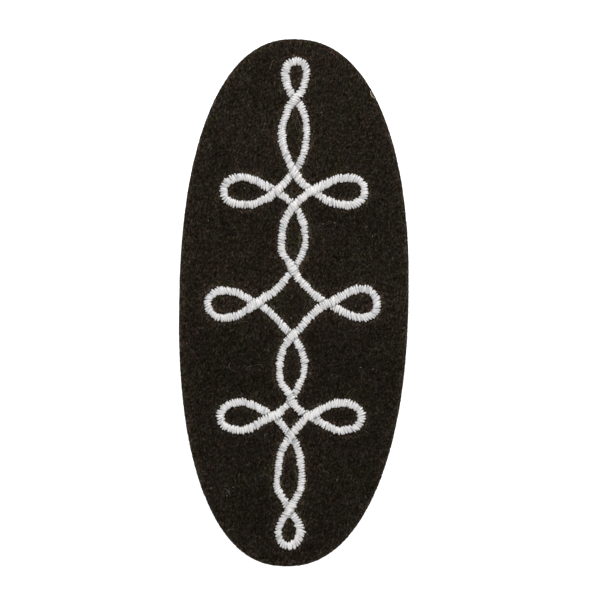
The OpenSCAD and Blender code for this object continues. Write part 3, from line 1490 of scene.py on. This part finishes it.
@dataclass
class SatinLine:
    """The white line: padding threads along it, and thread sewn over them from edge to edge."""

    courses: tuple[Course, ...]
    needle: Needle = Needle()
    tone: StitchTone = StitchTone()
    wool_top: float = 2.0
    # Distance from hole to hole along an edge, and how much closer they come where the line bends
    pitch: float = 0.43
    crowding: float = 0.5
    width: float = 1.23
    # Height of the line over what it lies on: plainly, over another pass and under one
    height: float = 0.4
    over_height: float = 0.38
    under_height: float = 0.24
    # How far from a crossing the line begins to change
    climb: float = 1.0
    # How deep, how far off its middle and how wide the upper pass presses the lower one down
    groove: Triple = (0.26, 0.78, 0.13)
    # Shares of that depth before and after each place where a half lies under, in its order
    right_grooves: tuple[Pair, ...] = ((0.5, 0.5), (1.2, 0.8), (1.6, 0.7), (0.4, 0.6))
    left_grooves: tuple[Pair, ...] = (
        (0.4, 1.3), (0.7, 0.5), (1.0, 0.8), (0.9, 0.5), (0.9, 0.9),
        (0.6, 0.7), (1.2, 0.5), (0.7, 1.6), (0.4, 0.7), (0.6, 0.5),
    )
    # Two meetings this close together are the same crossing
    same_spot: float = 0.4
    # How far past a crossing's reach its threads feel the other pass, how far past it that pass is
    # measured, and every how many of its stations are looked at
    felt_reach: float = 1.6
    pass_reach: float = 2.0
    pass_skip: int = 4
    # How far a pass below reaches past half the line's width, and the share of a thread's
    # thickness that stands over its height
    pass_margin: float = 0.05
    pass_thread: float = 0.45
    # How square the section of the line is, and how deep in the wool it begins
    fullness: float = 2.3
    sink: float = 0.14
    # How far a thread goes down at its hole, and the share of its way across that it bends in
    tail: float = 0.26
    bend_in: float = 0.04
    # How far each of the two threads in one hole lies from its middle
    hole_spread: float = 0.034
    # Least height of a thread over what it lies on, as a share of its thickness
    clear: float = 0.3
    thread_width: float = 0.285
    thread_thick: float = 0.2
    # Share of its width that a thread gains where it lies over another pass
    spread_on_top: float = 0.09
    # Share of its width that a thread keeps at its hole, a little in from it and farther in
    points: Triple = (0.68, 0.9, 1.03)
    points_at: Triple = (0.0, 0.1, 0.26)
    # Share of its thickness that it keeps at its hole
    thin_end: float = 0.75
    # How much every other thread stands higher, and how heights, sizes and rolls differ
    turn_rise: float = 0.045
    rise_jitter: float = 0.03
    size_jitter: float = 0.07
    roll_jitter: float = 9.0
    stitch: StrandForm = StrandForm(8, 11, waist=0.6, twist=250, end_size=0.7)
    padding: StrandForm = StrandForm(6, 150)
    # How far each padding thread lies from the middle of the line, and how far it strays
    padding_places: Row = (-0.28, 0.0, 0.28)
    padding_wander: float = 0.02
    padding_step: float = 0.9
    padding_width: float = 0.3
    padding_thick: float = 0.2
    # How far into the pass below a padding thread may settle
    padding_settle: float = 0.12
    seed: int = 4107
    run_names: tuple[str, ...] = ("crown", "upper", "lower", "foot")

    def stations(self, course: Course) -> Array:
        """Where the needle goes down, closer together where the line bends.

        Args:
            course: The half of the line.

        Returns:
            The stations, half a zigzag apart, with one more of them at the end.
        """
        crowd = 1 + self.crowding * self.width / 2 * np.abs(course.bend(course.station))
        steps = (crowd[1:] + crowd[:-1]) / 2 * np.diff(course.station)
        gone = np.concatenate([[0.0], np.cumsum(steps)])
        count = round(gone[-1] / self.pitch)
        return np.interp(np.linspace(0, gone[-1], 2 * count + 1), gone, course.station)

    def holes(self, course: Course, draw: Draw) -> tuple[Array, Array]:
        """Places where the needle went down along one half of the line.

        Args:
            course: The half of the line.
            draw: The random source.

        Returns:
            The holes in the order of sewing, on one edge and the other by turns, and their
            stations.
        """
        station = self.stations(course)
        count, needle = len(station), self.needle
        hand = np.where(np.arange(count) % 2 == 0, -1, 1)
        over = self.meeting_share(course, station, Lay.OVER)
        reach = needle.reaches(course, station, hand, over, draw)
        slant = np.radians(np.interp(station, course.station, course.slant))
        lean = np.clip(reach * np.tan(slant), -needle.lean_most, needle.lean_most)
        gaps = needle.gap_jitter * wander(station, course.length, self.pitch, draw)
        along = station + hand * lean + gaps + draw.normal(size=count) * needle.hole_jitter
        along = np.clip(along, 0.0, course.length)
        return course.spots(along) + (hand * reach)[:, None] * right_of(course.ways(along)), station

    def crossings(self, course: Course, lay: Lay, points: Array,
                  station: Array) -> Iterator[tuple[Meeting, Array, Array]]:
        """Finds where the threads of a course lie over another pass, or where they lie under one.

        Args:
            course: The half of the line.
            lay: How it lies there.
            points: Places on the threads.
            station: Station of each thread.

        Yields:
            The meeting, which threads are near it, and how far their places are from the middle
            of the other pass.
        """
        for meeting, other in product(course.meetings, self.courses):
            for met in other.meetings:
                close = np.linalg.norm(met.spot - meeting.spot) < self.same_spot
                if meeting.lay is lay and met.lay is not lay and close:
                    near = np.abs(station - meeting.station) < meeting.reach + self.felt_reach
                    there = np.abs(other.station - met.station) < met.reach + self.pass_reach
                    path = other.spot[there][::self.pass_skip]
                    gap = np.linalg.norm(points[near][..., None, :] - path, axis=-1).min(-1)
                    yield meeting, near, gap

    def meeting_share(self, course: Course, station: Array, lay: Lay) -> Array:
        """How much the line at each station lies over another pass, or under it, from 0 to 1."""
        share = np.zeros(len(station))
        for meeting in course.meetings:
            if meeting.lay is lay:
                gap = np.abs(station - meeting.station)
                share = np.maximum(share, smooth((meeting.reach + self.climb - gap) / self.climb))
        return share

    def heights(self, course: Course, station: Array) -> Array:
        """Height of the line's middle over what it lies on, lower at the crossings."""
        over = self.meeting_share(course, station, Lay.OVER) * (self.over_height - self.height)
        under = self.meeting_share(course, station, Lay.UNDER) * (self.under_height - self.height)
        return self.height + np.minimum(over, under)

    def lifts(self, course: Course, points: Array, station: Array) -> Array:
        """Height of what lies under the threads of a course, over the wool.

        Args:
            course: The half of the line.
            points: Places on the threads.
            station: Station of each thread.

        Returns:
            The height at each place.
        """
        lift = np.zeros(points.shape[:2])
        top = self.under_height + self.thread_thick * self.pass_thread
        half = self.width / 2 + self.pass_margin
        for _, near, gap in self.crossings(course, Lay.OVER, points, station):
            share = np.clip(gap / half, 0, 1)
            height = top * (1 - share ** self.fullness) ** (1 / self.fullness)
            lift[near] = np.maximum(lift[near], height)
        return lift

    def pressed(self, course: Course, points: Array, station: Array) -> Array:
        """How far the threads of a course are pressed down beside the passes that lie on it.

        Args:
            course: The half of the line.
            points: Places on the threads.
            station: Station of each thread.

        Returns:
            The depth at each place.
        """
        press = np.zeros(points.shape[:2])
        depth, place, width = self.groove
        shares = self.right_grooves if course.side is Side.RIGHT else self.left_grooves
        crossings = self.crossings(course, Lay.UNDER, points, station)
        for (meeting, near, gap), share in zip(crossings, shares):
            off = (gap - place) / width
            deep = depth * np.where(station[near] < meeting.station, *share)[:, None]
            press[near] = np.maximum(press[near], deep * np.exp(-off * off))
        return press

    def arc(self) -> tuple[Array, Array]:
        """The arch of a stitch, with a ring more at both ends, where it goes down.

        Returns:
            Each ring's share of the way across, and of the height.
        """
        angle = np.linspace(0, math.pi, self.stitch.rings - 2)
        power = 2 / self.fullness
        share = (1 - np.sign(np.cos(angle)) * np.abs(np.cos(angle)) ** power) / 2
        return np.concatenate([[0.0], share, [1.0]]), np.pad(np.abs(np.sin(angle)) ** power, 1)

    def thread_heights(self, course: Course, flat: Array, middle: Array, turns: Array,
                       draw: Draw) -> tuple[Array, Array]:
        """Heights of the sewn threads.

        Args:
            course: The half of the line.
            flat: Places of each thread's rings, seen from above.
            middle: The station of each thread.
            turns: 1 and -1 by turns, for each thread.
            draw: The random source.

        Returns:
            The height of each ring, and how deep another pass presses it.
        """
        share, arch = self.arc()
        lift = self.lifts(course, flat, middle)
        height = self.heights(course, middle) + self.turn_rise * turns
        height = height + draw.normal(size=len(middle)) * self.rise_jitter
        ends = lift[:, [1, -2]]
        ends = ends + self.sink * smooth(ends / self.under_height)
        base = self.wool_top - self.sink + ends[:, :1] * (1 - share) + ends[:, 1:] * share
        least = self.wool_top + lift + self.thread_thick * self.clear * arch - self.sink * (arch == 0)
        z = np.maximum(base + (height + self.sink)[:, None] * arch, least)
        z[:, 2:-2] = (z[:, 1:-3] + 2 * z[:, 2:-2] + z[:, 3:-1]) / 4
        z[:, [0, -1]] -= self.tail
        press = self.pressed(course, flat, middle)
        return z - press * arch, press

    def thread_paths(self, course: Course, draw: Draw) -> tuple[Paths, Array, Array]:
        """Paths of the threads that are sewn across one half of the line.

        Args:
            course: The half of the line.
            draw: The random source.

        Returns:
            The paths, the station of each thread, and the tone on each of its rings.
        """
        holes, station = self.holes(course, draw)
        # The two threads in one hole lie side by side in it
        way = course.ways(station) * self.hole_spread
        start, end = holes[:-1] + way[:-1], holes[1:] - way[1:]
        middle = (station[:-1] + station[1:]) / 2
        count = len(middle)
        turns = np.where(np.arange(count) % 2 == 0, 1, -1)
        share, arch = self.arc()
        across = share.copy()
        across[[0, -1]] = self.bend_in, 1 - self.bend_in
        flat = start[:, None] + (end - start)[:, None] * across[:, None]
        z, press = self.thread_heights(course, flat, middle, turns, draw)
        centre = raised(flat, z)
        side = raised(-right_of(unit(end - start)))
        taper = np.interp(np.minimum(share, 1 - share), self.points_at, self.points)
        on_top = self.meeting_share(course, middle, Lay.OVER)[:, None]
        size = 1 + draw.normal(size=(count, 1)) * self.size_jitter + self.spread_on_top * on_top
        width = self.thread_width * taper * size
        thick = self.thread_thick * np.interp(arch, (0.0, 1.0), (self.thin_end, 1.0)) * size
        phase = draw.uniform(0, math.pi, count)
        roll = draw.normal(size=count) * math.radians(self.roll_jitter)
        # How the painted sheen wanders along the line
        swing = wander(middle, course.length, self.tone.step, draw)
        tone = self.tone.on(arch, turns, swing, on_top, press, draw)
        return Paths.along(centre, side, width, thick, phase, roll), middle, tone

    def padding_paths(self, course: Course, low: float, high: float, draw: Draw) -> Paths:
        """Paths of the padding threads, which run along the line under the others.

        Args:
            course: The half of the line.
            low: Station where the run begins.
            high: Station where it ends.
            draw: The random source.

        Returns:
            The paths.
        """
        station = np.linspace(low, high, self.padding.rings)
        spot, right_hand = course.spots(station), right_of(course.ways(station))
        height = self.heights(course, station)
        share = np.interp(station, course.station, course.width) / self.width
        rows: list[Array] = []
        for place in self.padding_places:
            swing = wander(station, course.length, self.padding_step, draw)
            flat = spot + (place * share + self.padding_wander * swing)[:, None] * right_hand
            lift = self.lifts(course, flat[:, None], station)[:, 0]
            arch = (1 - abs(2 * place / self.width) ** self.fullness) ** (1 / self.fullness)
            under = (self.thread_thick + self.padding_thick) / 2
            rise = (height + self.sink) * arch - self.sink - under
            press = self.pressed(course, flat[:, None], station)[:, 0]
            z = self.wool_top + lift + rise - np.minimum(lift, self.padding_settle) - press
            rows.append(raised(flat, z))
        centre = np.stack(rows)
        side = np.broadcast_to(raised(right_hand), centre.shape)
        width = np.full(centre.shape[:2], self.padding_width)
        thick = np.full(centre.shape[:2], self.padding_thick)
        return Paths.along(centre, side, width, thick, draw.uniform(0, math.pi, len(centre)))

    @staticmethod
    def dress(piece: Piece, tone: Array, material: Material) -> None:
        """Gives a piece of the line its tones, its material and its place in the frame."""
        mark(piece, "tone", np.clip(tone, 0, 1))
        piece.data.materials.append(material)
        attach(piece, "root")

    def build(self, finish: ThreadFinish) -> list[Piece]:
        """Sews the line, with one piece of stitches and one of padding for each run.

        Args:
            finish: The thread's finish.

        Returns:
            The pieces.
        """
        stitch, padding = self.stitch.model(), self.padding.model()
        material = finish.material()
        pieces: list[Piece] = []
        for course in self.courses:
            draw = np.random.default_rng(self.seed + int(course.side))
            paths, middle, tone = self.thread_paths(course, draw)
            for name, low, high in zip(self.run_names, course.run_ends, course.run_ends[1:]):
                own = (middle >= low) & (middle < high)
                whole = f"{name}_{course.side.name.lower()}"
                sewn = stitch.lay(f"{whole}_satin", paths.chosen(own))
                self.dress(sewn, stitch.point_values(tone[own]), material)
                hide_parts(f"{whole}_run")
                laid = padding.lay(f"{whole}_padding", self.padding_paths(course, low, high, draw))
                # The padding takes a grey tone as painted shade
                self.dress(laid, np.full(len(laid.data.vertices), finish.padding_tone), material)
                pieces += [sewn, laid]
        return pieces


# Loose hairs


def lay_hairs(name: str, sides: int, paths: Paths, dyes: Array, material: Material) -> Piece:
    """Lays loose hairs, all in one piece.

    Args:
        name: Name of the piece.
        sides: Number of sides of a hair's section.
        paths: Where the hairs go.
        dyes: The colour of each hair.
        material: The hairs' material.

    Returns:
        The finished piece.
    """
    strand = StrandForm(sides, paths.centre.shape[1]).model()
    piece = strand.lay(name, paths)
    strand.dye(piece, dyes)
    piece.data.materials.append(material)
    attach(piece, "root")
    return piece


@dataclass(frozen=True)
class HairForm:
    """How the hairs of one place differ, and their shape."""

    # Middle and spread of a length's logarithm, and the least and the greatest length
    log_length: Pair
    lengths: Pair
    # Spread of their headings in degrees, and of their curls in radians
    spread: float
    curl: float
    # Least and greatest share of the plain size, and the shares along a hair
    sizes: Pair
    body: Row

    def length(self, count: int, draw: Draw) -> Array:
        """Random lengths."""
        return np.clip(draw.lognormal(*self.log_length, count), *self.lengths)


@dataclass
class Nap:
    """Loose wool hairs that lie on the face and stand off the cut edge."""

    wool: WoolOval
    face: HairForm = HairForm((0.15, 0.35), (0.5, 2.4), 52.0, 1.3, (0.75, 1.25), (0.75, 1.0, 0.9, 0.4))
    edge: HairForm = HairForm((-0.75, 0.4), (0.15, 1.0), 50.0, 1.2, (0.75, 1.2), (0.6, 1.0, 0.85, 0.4))
    # Places along a hair at which its size is given
    body_at: Row = (0, 0.3, 0.8, 1.0)
    seed: int = 911
    edge_seed: int = 988
    # Number of hairs in each layer of the face and on the edge
    layers: tuple[int, ...] = (9400, 9400)
    edge_count: int = 7500
    thick: float = 0.04
    rings: int = 4
    sides: int = 3
    # How far in from the cut and off the middle of the line the hairs of the face begin
    inset: float = 0.35
    clear: float = 0.78
    # The way that most hairs of the face lie, in degrees from +x
    lean: float = 72.0
    # Hairs that would come this close to the cut set out towards the middle instead
    spare: float = 0.3
    # How high a hair's middle stands, and which part of an arch it takes: its start and its length
    rise: Pair = (0.02, 0.11)
    bow: Pair = (0.12, 0.76)
    # How high its tip stands free, and how deep in the nap it starts
    free: Pair = (-0.04, 0.1)
    sunk: float = 0.02
    # Heights at which the hairs of the edge begin, and the greatest that they come to
    edge_heights: Pair = (0.05, 1.97)
    edge_top: float = 1.99
    # How far off the edge they lie, and how much farther their middles and their tips stand out
    edge_out: float = 0.006
    edge_hump: float = 0.035
    edge_stray: float = 0.02
    # From this height on they stand up more and more, and at the top this share of it stays out
    edge_round: float = 1.75
    edge_kept: float = 0.2
    edge_points: int = 2000
    dyes: tuple[Colour, ...] = (
        (0.0064, 0.0042, 0.0020), (0.0255, 0.0197, 0.0138), (0.066, 0.0592, 0.0525),
        (0.037, 0.0299, 0.0232), (0.031, 0.027, 0.0182),
    )
    dye_shares: Row = (0.36, 0.28, 0.16, 0.1, 0.1)
    dye_range: Pair = (0.74, 1.31)
    # How much redder, greener and bluer the hairs are where the wool is reddish
    hue: Colour = (0.045, -0.024, 0.05)
    hue_cloud: Cloud = Cloud(0.8, 2, 41.0)

    def scatter(self, count: int, draw: Draw) -> Array:
        """Random places on the face, clear of the stitches.

        Args:
            count: How many are wanted.
            draw: The random source.

        Returns:
            The places.
        """
        cut = self.wool.cut
        found: list[Array] = []
        have = 0
        while have < count:
            turn = draw.uniform(0, math.tau, count)
            share = np.sqrt(draw.uniform(0, 1, count))
            places = cut.inset(turn, np.full(count, self.inset)) * share[:, None]
            places = places[self.wool.line_distance(places) > self.clear]
            found.append(places)
            have += len(places)
        return np.vstack(found)[:count]

    def lay(self, name: str, form: HairForm, centre: Array, side: Array, pale: Array, hue: Array,
            material: Material, draw: Draw) -> Piece:
        """Lays hairs along their paths and dyes them.

        Args:
            name: Name of the piece.
            form: How the hairs differ.
            centre: The points of each hair.
            side: The direction across each.
            pale: How pale the wool is where each begins, painted rim light and bounce light included.
            hue: How reddish it is there, around 0.
            material: The hairs' material.
            draw: The random source.

        Returns:
            The piece.
        """
        count = len(centre)
        body = np.interp(np.linspace(0, 1, self.rings), self.body_at, form.body)
        size = self.thick * draw.uniform(*form.sizes, (count, 1)) * body
        paths = Paths.along(centre, side, size, size, draw.uniform(0, math.pi, count))
        kind = draw.choice(len(self.dyes), size=count, p=self.dye_shares)
        dye = np.array(self.dyes)[kind] * draw.uniform(*self.dye_range, (count, 1))
        # The hairs take the wool's painted rim light and bounce light in their dye
        dye = dye * pale[:, None] * (1 + hue[:, None] * np.array(self.hue))
        return lay_hairs(name, self.sides, paths, dye, material)

    def moves(self, form: HairForm, heading: Array, length: Array, draw: Draw) -> Array:
        """How hairs go on from ring to ring as they curl.

        Args:
            form: How the hairs differ.
            heading: The way that the middle of each takes, in radians.
            length: Its length.
            draw: The random source.

        Returns:
            The step of each ring.
        """
        curl = draw.normal(0, form.curl, (len(heading), 1))
        angle = heading[:, None] + curl * (np.linspace(0, 1, self.rings) - 0.5)
        step = length[:, None] / (self.rings - 1)
        return np.stack([np.cos(angle) * step, np.sin(angle) * step], -1)

    def face_nap(self, number: int, material: Material) -> Piece:
        """Lays one layer of the nap.

        Args:
            number: The layer, from 1.
            material: The hairs' material.

        Returns:
            The piece.
        """
        draw = np.random.default_rng(self.seed + number)
        count, form = self.layers[number - 1], self.face
        start = self.scatter(count, draw)
        length = form.length(count, draw)
        heading = math.radians(self.lean) + draw.normal(0, math.radians(form.spread), count)
        way = np.stack([np.cos(heading), np.sin(heading)], 1)
        outside = self.wool.cut.reach(start + way * (length + self.spare)[:, None]) > 1
        heading = np.where(outside, np.arctan2(-start[:, 1], -start[:, 0]), heading)
        share = np.linspace(0, 1, self.rings)
        move = self.moves(form, heading, length, draw)
        flat = start[:, None] + np.cumsum(move, axis=1) - move[:, :1]
        ground = self.wool.surface(flat.reshape(-1, 2)).reshape(count, -1)
        arch = np.sin(math.pi * (self.bow[0] + self.bow[1] * share))
        hump = arch * draw.uniform(*self.rise, count)[:, None]
        free = share * draw.uniform(*self.free, (count, 1))
        centre = raised(flat, ground - self.sunk + hump + free)
        side = raised(np.stack([-np.sin(heading), np.cos(heading)], 1))
        hue = self.hue_cloud.at(start)
        hue = (hue - hue.mean()) / hue.std()
        name = f"face_nap_{number}"
        return self.lay(name, form, centre, side, self.wool.pale(start), hue, material, draw)

    def edge_nap(self, material: Material) -> Piece:
        """Lays the short hairs that are matted on the cut edge.

        Args:
            material: The hairs' material.

        Returns:
            The piece.
        """
        draw = np.random.default_rng(self.edge_seed)
        cut, count, form = self.wool.cut, self.edge_count, self.edge
        ring = np.linspace(0, math.tau, self.edge_points)
        steps = np.linalg.norm(np.diff(cut.edge(ring), axis=0), axis=1)
        gone = np.concatenate([[0], np.cumsum(steps)])
        length = form.length(count, draw)
        heading = draw.normal(0, math.radians(form.spread), count)
        heading = heading + math.pi * draw.integers(0, 2, count)
        share = np.linspace(0, 1, self.rings)
        gone_on = np.cumsum(self.moves(form, heading, length, draw), axis=1)
        along = draw.uniform(0, gone[-1], (count, 1)) + gone_on[..., 0]
        height = draw.uniform(*self.edge_heights, (count, 1)) + gone_on[..., 1]
        height = np.clip(height, self.edge_heights[0], self.edge_top)
        turn = np.interp(along % gone[-1], gone, ring)
        hump = np.sin(math.pi * share) * draw.uniform(0.0, self.edge_hump, (count, 1))
        out = self.edge_out + hump + share * draw.exponential(self.edge_stray, (count, 1))
        upward = np.interp(height, (self.edge_round, self.edge_top), (0.0, 1.0))
        sideways = out * (1 - (1 - self.edge_kept) * upward)
        flat = self.wool.wall(turn.ravel(), height.ravel(), sideways.ravel())
        flat = flat.reshape(count, self.rings, 2)
        centre = raised(flat, height + out * upward)
        middle = turn[:, self.rings // 2]
        side = raised(unit(cut.edge(middle) - cut.inset(middle, np.ones(count))))
        pale, hue = self.wool.pale(flat[:, 0], height[:, 0]), np.zeros(count)
        return self.lay("edge_nap", form, centre, side, pale, hue, material, draw)


# Bits of lint


@dataclass(frozen=True)
class Fibre:
    """A loose fibre that the picture shows: its ends there, its bow, its thickness and its dye.

    The bow is how far its middle stands off to the left of its way, as a share of its length.
    """

    start: Pair
    end: Pair
    bow: float
    thick: float
    dye: Colour


@dataclass
class Lint:
    """The few bits of lint that lie on the wool."""

    wool: WoolOval
    view: "PhotoView"
    rings: int = 9
    cream: Colour = (0.56, 0.46, 0.30)
    white: Colour = (0.25, 0.235, 0.21)
    grey: Colour = (0.16, 0.145, 0.125)
    dull: Colour = (0.105, 0.095, 0.082)
    faint: Colour = (0.060, 0.052, 0.043)
    green: Colour = (0.080, 0.092, 0.045)
    # Height of a fibre over the wool, and the share of its thickness that it lies higher
    lift: float = 0.06
    rest: float = 0.3
    sides: int = 6
    # Places along a fibre, and its size at each
    body_at: Row = (0, 0.25, 0.75, 1)
    body: Row = (0.5, 1.0, 1.0, 0.4)

    @property
    def fibres(self) -> tuple[Fibre, ...]:
        """The fibres, with their places in the picture's pixels."""
        return (
            Fibre((370.0, 90.4), (374.4, 98.0), -0.18, 0.15, self.cream),
            Fibre((258.4, 104.6), (260.2, 101.9), 0.2, 0.1, self.green),
            Fibre((332.2, 230.2), (333.9, 227.6), 0.2, 0.1, self.green),
            Fibre((360.0, 370.0), (360.2, 383.0), 0.06, 0.06, self.green),
            Fibre((325.8, 322.0), (325.0, 328.0), -0.1, 0.06, self.green),
            Fibre((251.0, 294.3), (255.3, 288.6), 0.15, 0.05, self.grey),
            Fibre((213.4, 331.0), (218.6, 323.0), -0.12, 0.05, self.grey),
            Fibre((337.5, 315.0), (341.7, 320.0), 0.15, 0.05, self.grey),
            Fibre((369.0, 354.0), (379.0, 349.0), 0.28, 0.06, self.grey),
            Fibre((229.9, 362.4), (230.8, 368.9), -0.28, 0.08, self.grey),
            Fibre((231.0, 369.4), (237.5, 370.6), -0.1, 0.1, self.faint),
            Fibre((254.8, 364.8), (262.4, 368.2), 0.34, 0.07, self.dull),
            Fibre((246.0, 368.0), (252.6, 365.6), 0.12, 0.08, self.dull),
            Fibre((264.0, 436.2), (267.6, 433.0), 0.25, 0.08, self.grey),
            Fibre((224.2, 487.6), (229.8, 495.4), 0.12, 0.1, self.dull),
            Fibre((229.4, 486.0), (225.6, 492.6), 0.15, 0.07, self.dull),
            Fibre((260.0, 475.4), (263.4, 473.0), -0.2, 0.05, self.grey),
        )

    # Middles of the pale specks in the picture, in pixels, from the top down
    speck_places: tuple[Pair, ...] = (
        (320.8, 112.2), (244.0, 187.5), (208.0, 220.0), (334.2, 222.5), (322.5, 223.3),
        (366.7, 226.7), (371.7, 235.8), (290.8, 317.5), (360.0, 367.2), (372.5, 368.3),
        (336.7, 479.2), (232.4, 486.6), (210.5, 487.5), (226.6, 495.4), (228.3, 528.8),
    )
    # Half the length of a speck in pixels, its turn from the last one, its bow and its thickness
    speck_reach: float = 0.75
    speck_turn: float = 2.4
    speck_bow: float = 0.2
    speck_thick: float = 0.11

    def specks(self) -> list[Fibre]:
        """The specks, each a short thick fibre that lies at its own angle."""
        found: list[Fibre] = []
        for number, (x, y) in enumerate(self.speck_places):
            turn = number * self.speck_turn
            right, down = self.speck_reach * math.cos(turn), self.speck_reach * math.sin(turn)
            ends = (x - right, y - down), (x + right, y + down)
            found.append(Fibre(*ends, self.speck_bow, self.speck_thick, self.white))
        return found

    def path(self, fibre: Fibre) -> Array:
        """The middle line of a fibre as it lies on the wool.

        Args:
            fibre: The fibre.

        Returns:
            Its points.
        """
        start, end = self.view.on_patch(*fibre.start), self.view.on_patch(*fibre.end)
        share = np.linspace(0, 1, self.rings)[:, None]
        left = np.array([start[1] - end[1], end[0] - start[0]])
        flat = start + (end - start) * share + left * fibre.bow * np.sin(math.pi * share)
        z = self.wool.surface(flat) + fibre.thick * self.rest + self.lift
        return raised(flat, np.convolve(np.pad(z, 1, "edge"), SOFT, "valid"))

    def build(self, material: Material) -> Piece:
        """Lays the lint on the wool.

        Args:
            material: The material of loose hairs.

        Returns:
            The piece.
        """
        fibres = list(self.fibres) + self.specks()
        centre = np.stack([self.path(fibre) for fibre in fibres])
        side = unit(raised(-right_of(unit(centre[:, -1] - centre[:, 0]))))
        body = np.interp(np.linspace(0, 1, self.rings), self.body_at, self.body)
        size = np.array([fibre.thick for fibre in fibres])[:, None] * body
        paths = Paths.along(centre, side, size, size, np.zeros(len(fibres)))
        dyes = np.array([fibre.dye for fibre in fibres])
        return lay_hairs("lint", self.sides, paths, dyes, material)


# The studio


@dataclass(frozen=True)
class PhotoView:
    """How the patch lies in the picture: its scale, its middle and its lean to the right."""

    pixels: float = 600.0
    per_mm: float = 5.917
    middle: Pair = (293.26, 302.28)
    lean: float = 1.194
    lens: float = 180.0
    sensor: float = 36.0
    # How far below the face the camera's scale is true, and the depths between which it sees
    true_depth: float = 0.5
    clip: Pair = (0.01, 20.0)

    def axes(self) -> tuple[Array, Array]:
        """The picture's ways to the right and up, on the patch."""
        turn = math.radians(self.lean)
        return np.array([math.cos(turn), math.sin(turn)]), np.array([-math.sin(turn), math.cos(turn)])

    def on_patch(self, x: float, y: float) -> Array:
        """The place on the patch's face that a pixel of the picture shows."""
        right, up = self.axes()
        return ((x - self.middle[0]) * right - (y - self.middle[1]) * up) / self.per_mm

    def camera(self, face_height: float) -> Piece:
        """Hangs the camera straight over the patch.

        Args:
            face_height: Height of the patch's face.

        Returns:
            The camera.
        """
        middle = (self.pixels - 1) / 2
        aim = self.on_patch(middle, middle)
        distance = self.pixels / self.per_mm / self.sensor * self.lens
        start_modelling()
        bpy.ops.object.camera_add(
            location=(aim[0] * MM, aim[1] * MM, (face_height - self.true_depth + distance) * MM),
            rotation=(0, 0, math.radians(self.lean)))
        camera = bpy.context.object
        camera.name = "camera"
        camera.data.lens = self.lens
        camera.data.sensor_width = self.sensor
        camera.data.clip_start, camera.data.clip_end = self.clip
        return camera


@dataclass(frozen=True)
class Softbox:
    """A soft studio light: where it stands, its size and its strength."""

    name: str
    azimuth: float
    elevation: float
    power: float
    size: float = 0.45
    distance: float = 0.7

    def place(self) -> Piece:
        """Sets the light up, aimed at the patch.

        Returns:
            The light.
        """
        turn, tilt = math.radians(self.azimuth), math.radians(self.elevation)
        back = Vector((math.sin(turn) * math.cos(tilt), math.cos(turn) * math.cos(tilt), math.sin(tilt)))
        start_modelling()
        bpy.ops.object.light_add(type="AREA", location=back * self.distance,
                                 rotation=back.to_track_quat("Z", "Y").to_euler())
        light = bpy.context.object
        light.name = self.name
        light.data.shape = "DISK"
        light.data.size = self.size
        light.data.energy = self.power
        return light


@dataclass(frozen=True)
class Studio:
    """The white table, the soft lights and the camera."""

    view: PhotoView
    table_size: float = 3.0
    table_thick: float = 0.02
    table_round: float = 0.005
    sky: float = 0.302
    boxes: tuple[Softbox, ...] = (
        Softbox("upper_light", 2, 35, 3.85),
        Softbox("right_light", 108, 38, 1.05),
        Softbox("lower_light", -165, 38, 1.58),
        Softbox("left_light", -80, 38, 0.25),
    )

    def table(self, finish: TableFinish) -> Piece:
        """Models the table top, a thin slab with a rounded edge.

        Args:
            finish: The table's finish.

        Returns:
            The table.
        """
        start_modelling()
        bpy.ops.mesh.primitive_plane_add(size=self.table_size)
        table = bpy.context.object
        bpy.ops.object.mode_set(mode="EDIT")
        bpy.ops.mesh.select_all(action="SELECT")
        down = (0, 0, -self.table_thick)
        bpy.ops.mesh.extrude_region_move(TRANSFORM_OT_translate={"value": down})
        turn_faces_out()
        bpy.ops.mesh.bevel(offset=self.table_round, segments=3)
        bpy.ops.object.mode_set(mode="OBJECT")
        table.name = "table"
        table.data.materials.append(finish.material())
        return table

    def surround(self) -> bpy.types.World:
        """Makes the room: dim for what it lights, white like the table where it is seen."""
        world = bpy.data.worlds.new("studio")
        world.use_nodes = True
        tree = world.node_tree
        seen = tree.nodes.new("ShaderNodeLightPath").outputs["Is Camera Ray"]
        strength = tree.nodes.new("ShaderNodeMapRange")
        strength.inputs["To Min"].default_value = self.sky
        strength.inputs["To Max"].default_value = 1.0
        tree.links.new(seen, strength.inputs["Value"])
        backdrop = tree.nodes["Background"]
        backdrop.inputs["Color"].default_value = (1.0, 1.0, 1.0, 1.0)
        tree.links.new(strength.outputs["Result"], backdrop.inputs["Strength"])
        return world

    def build(self, face_height: float, finish: TableFinish) -> None:
        """Sets up the whole studio.

        Args:
            face_height: Height of the patch's face.
            finish: The table's finish.
        """
        self.table(finish)
        for box in self.boxes:
            box.place()
        scene = bpy.context.scene
        scene.world = self.surround()
        scene.camera = self.view.camera(face_height)
        scene.view_settings.view_transform = "Standard"
        scene.view_settings.look = "None"


def report(pieces: list[Piece]) -> None:
    """Says how many triangles each piece has."""
    for piece in pieces:
        triangles = sum(len(face.vertices) - 2 for face in piece.data.polygons)
        log.info("%s: %d triangles", piece.name, triangles)


def main() -> None:
    """Builds the patch and the studio round it."""
    logging.basicConfig(level=logging.INFO, format="%(name)s: %(message)s")
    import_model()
    route = KnotRoute()
    courses = (route.course(Side.RIGHT), route.course(Side.LEFT))
    view = PhotoView()
    wool = WoolOval(OvalCut(), courses)
    Studio(view).build(wool.thickness, TableFinish())
    felt = wool.build(WoolFinish())
    cut = wool.cut
    cut.length * MM
    cut.area
    report([felt])
    report(SatinLine(courses).build(ThreadFinish()))

    nap = Nap(wool)
    hair = HairFinish().material()
    report([nap.face_nap(1, hair), nap.face_nap(2, hair), nap.edge_nap(hair)])
    report([Lint(wool, view).build(hair)])


if __name__ == "__main__":
    main()
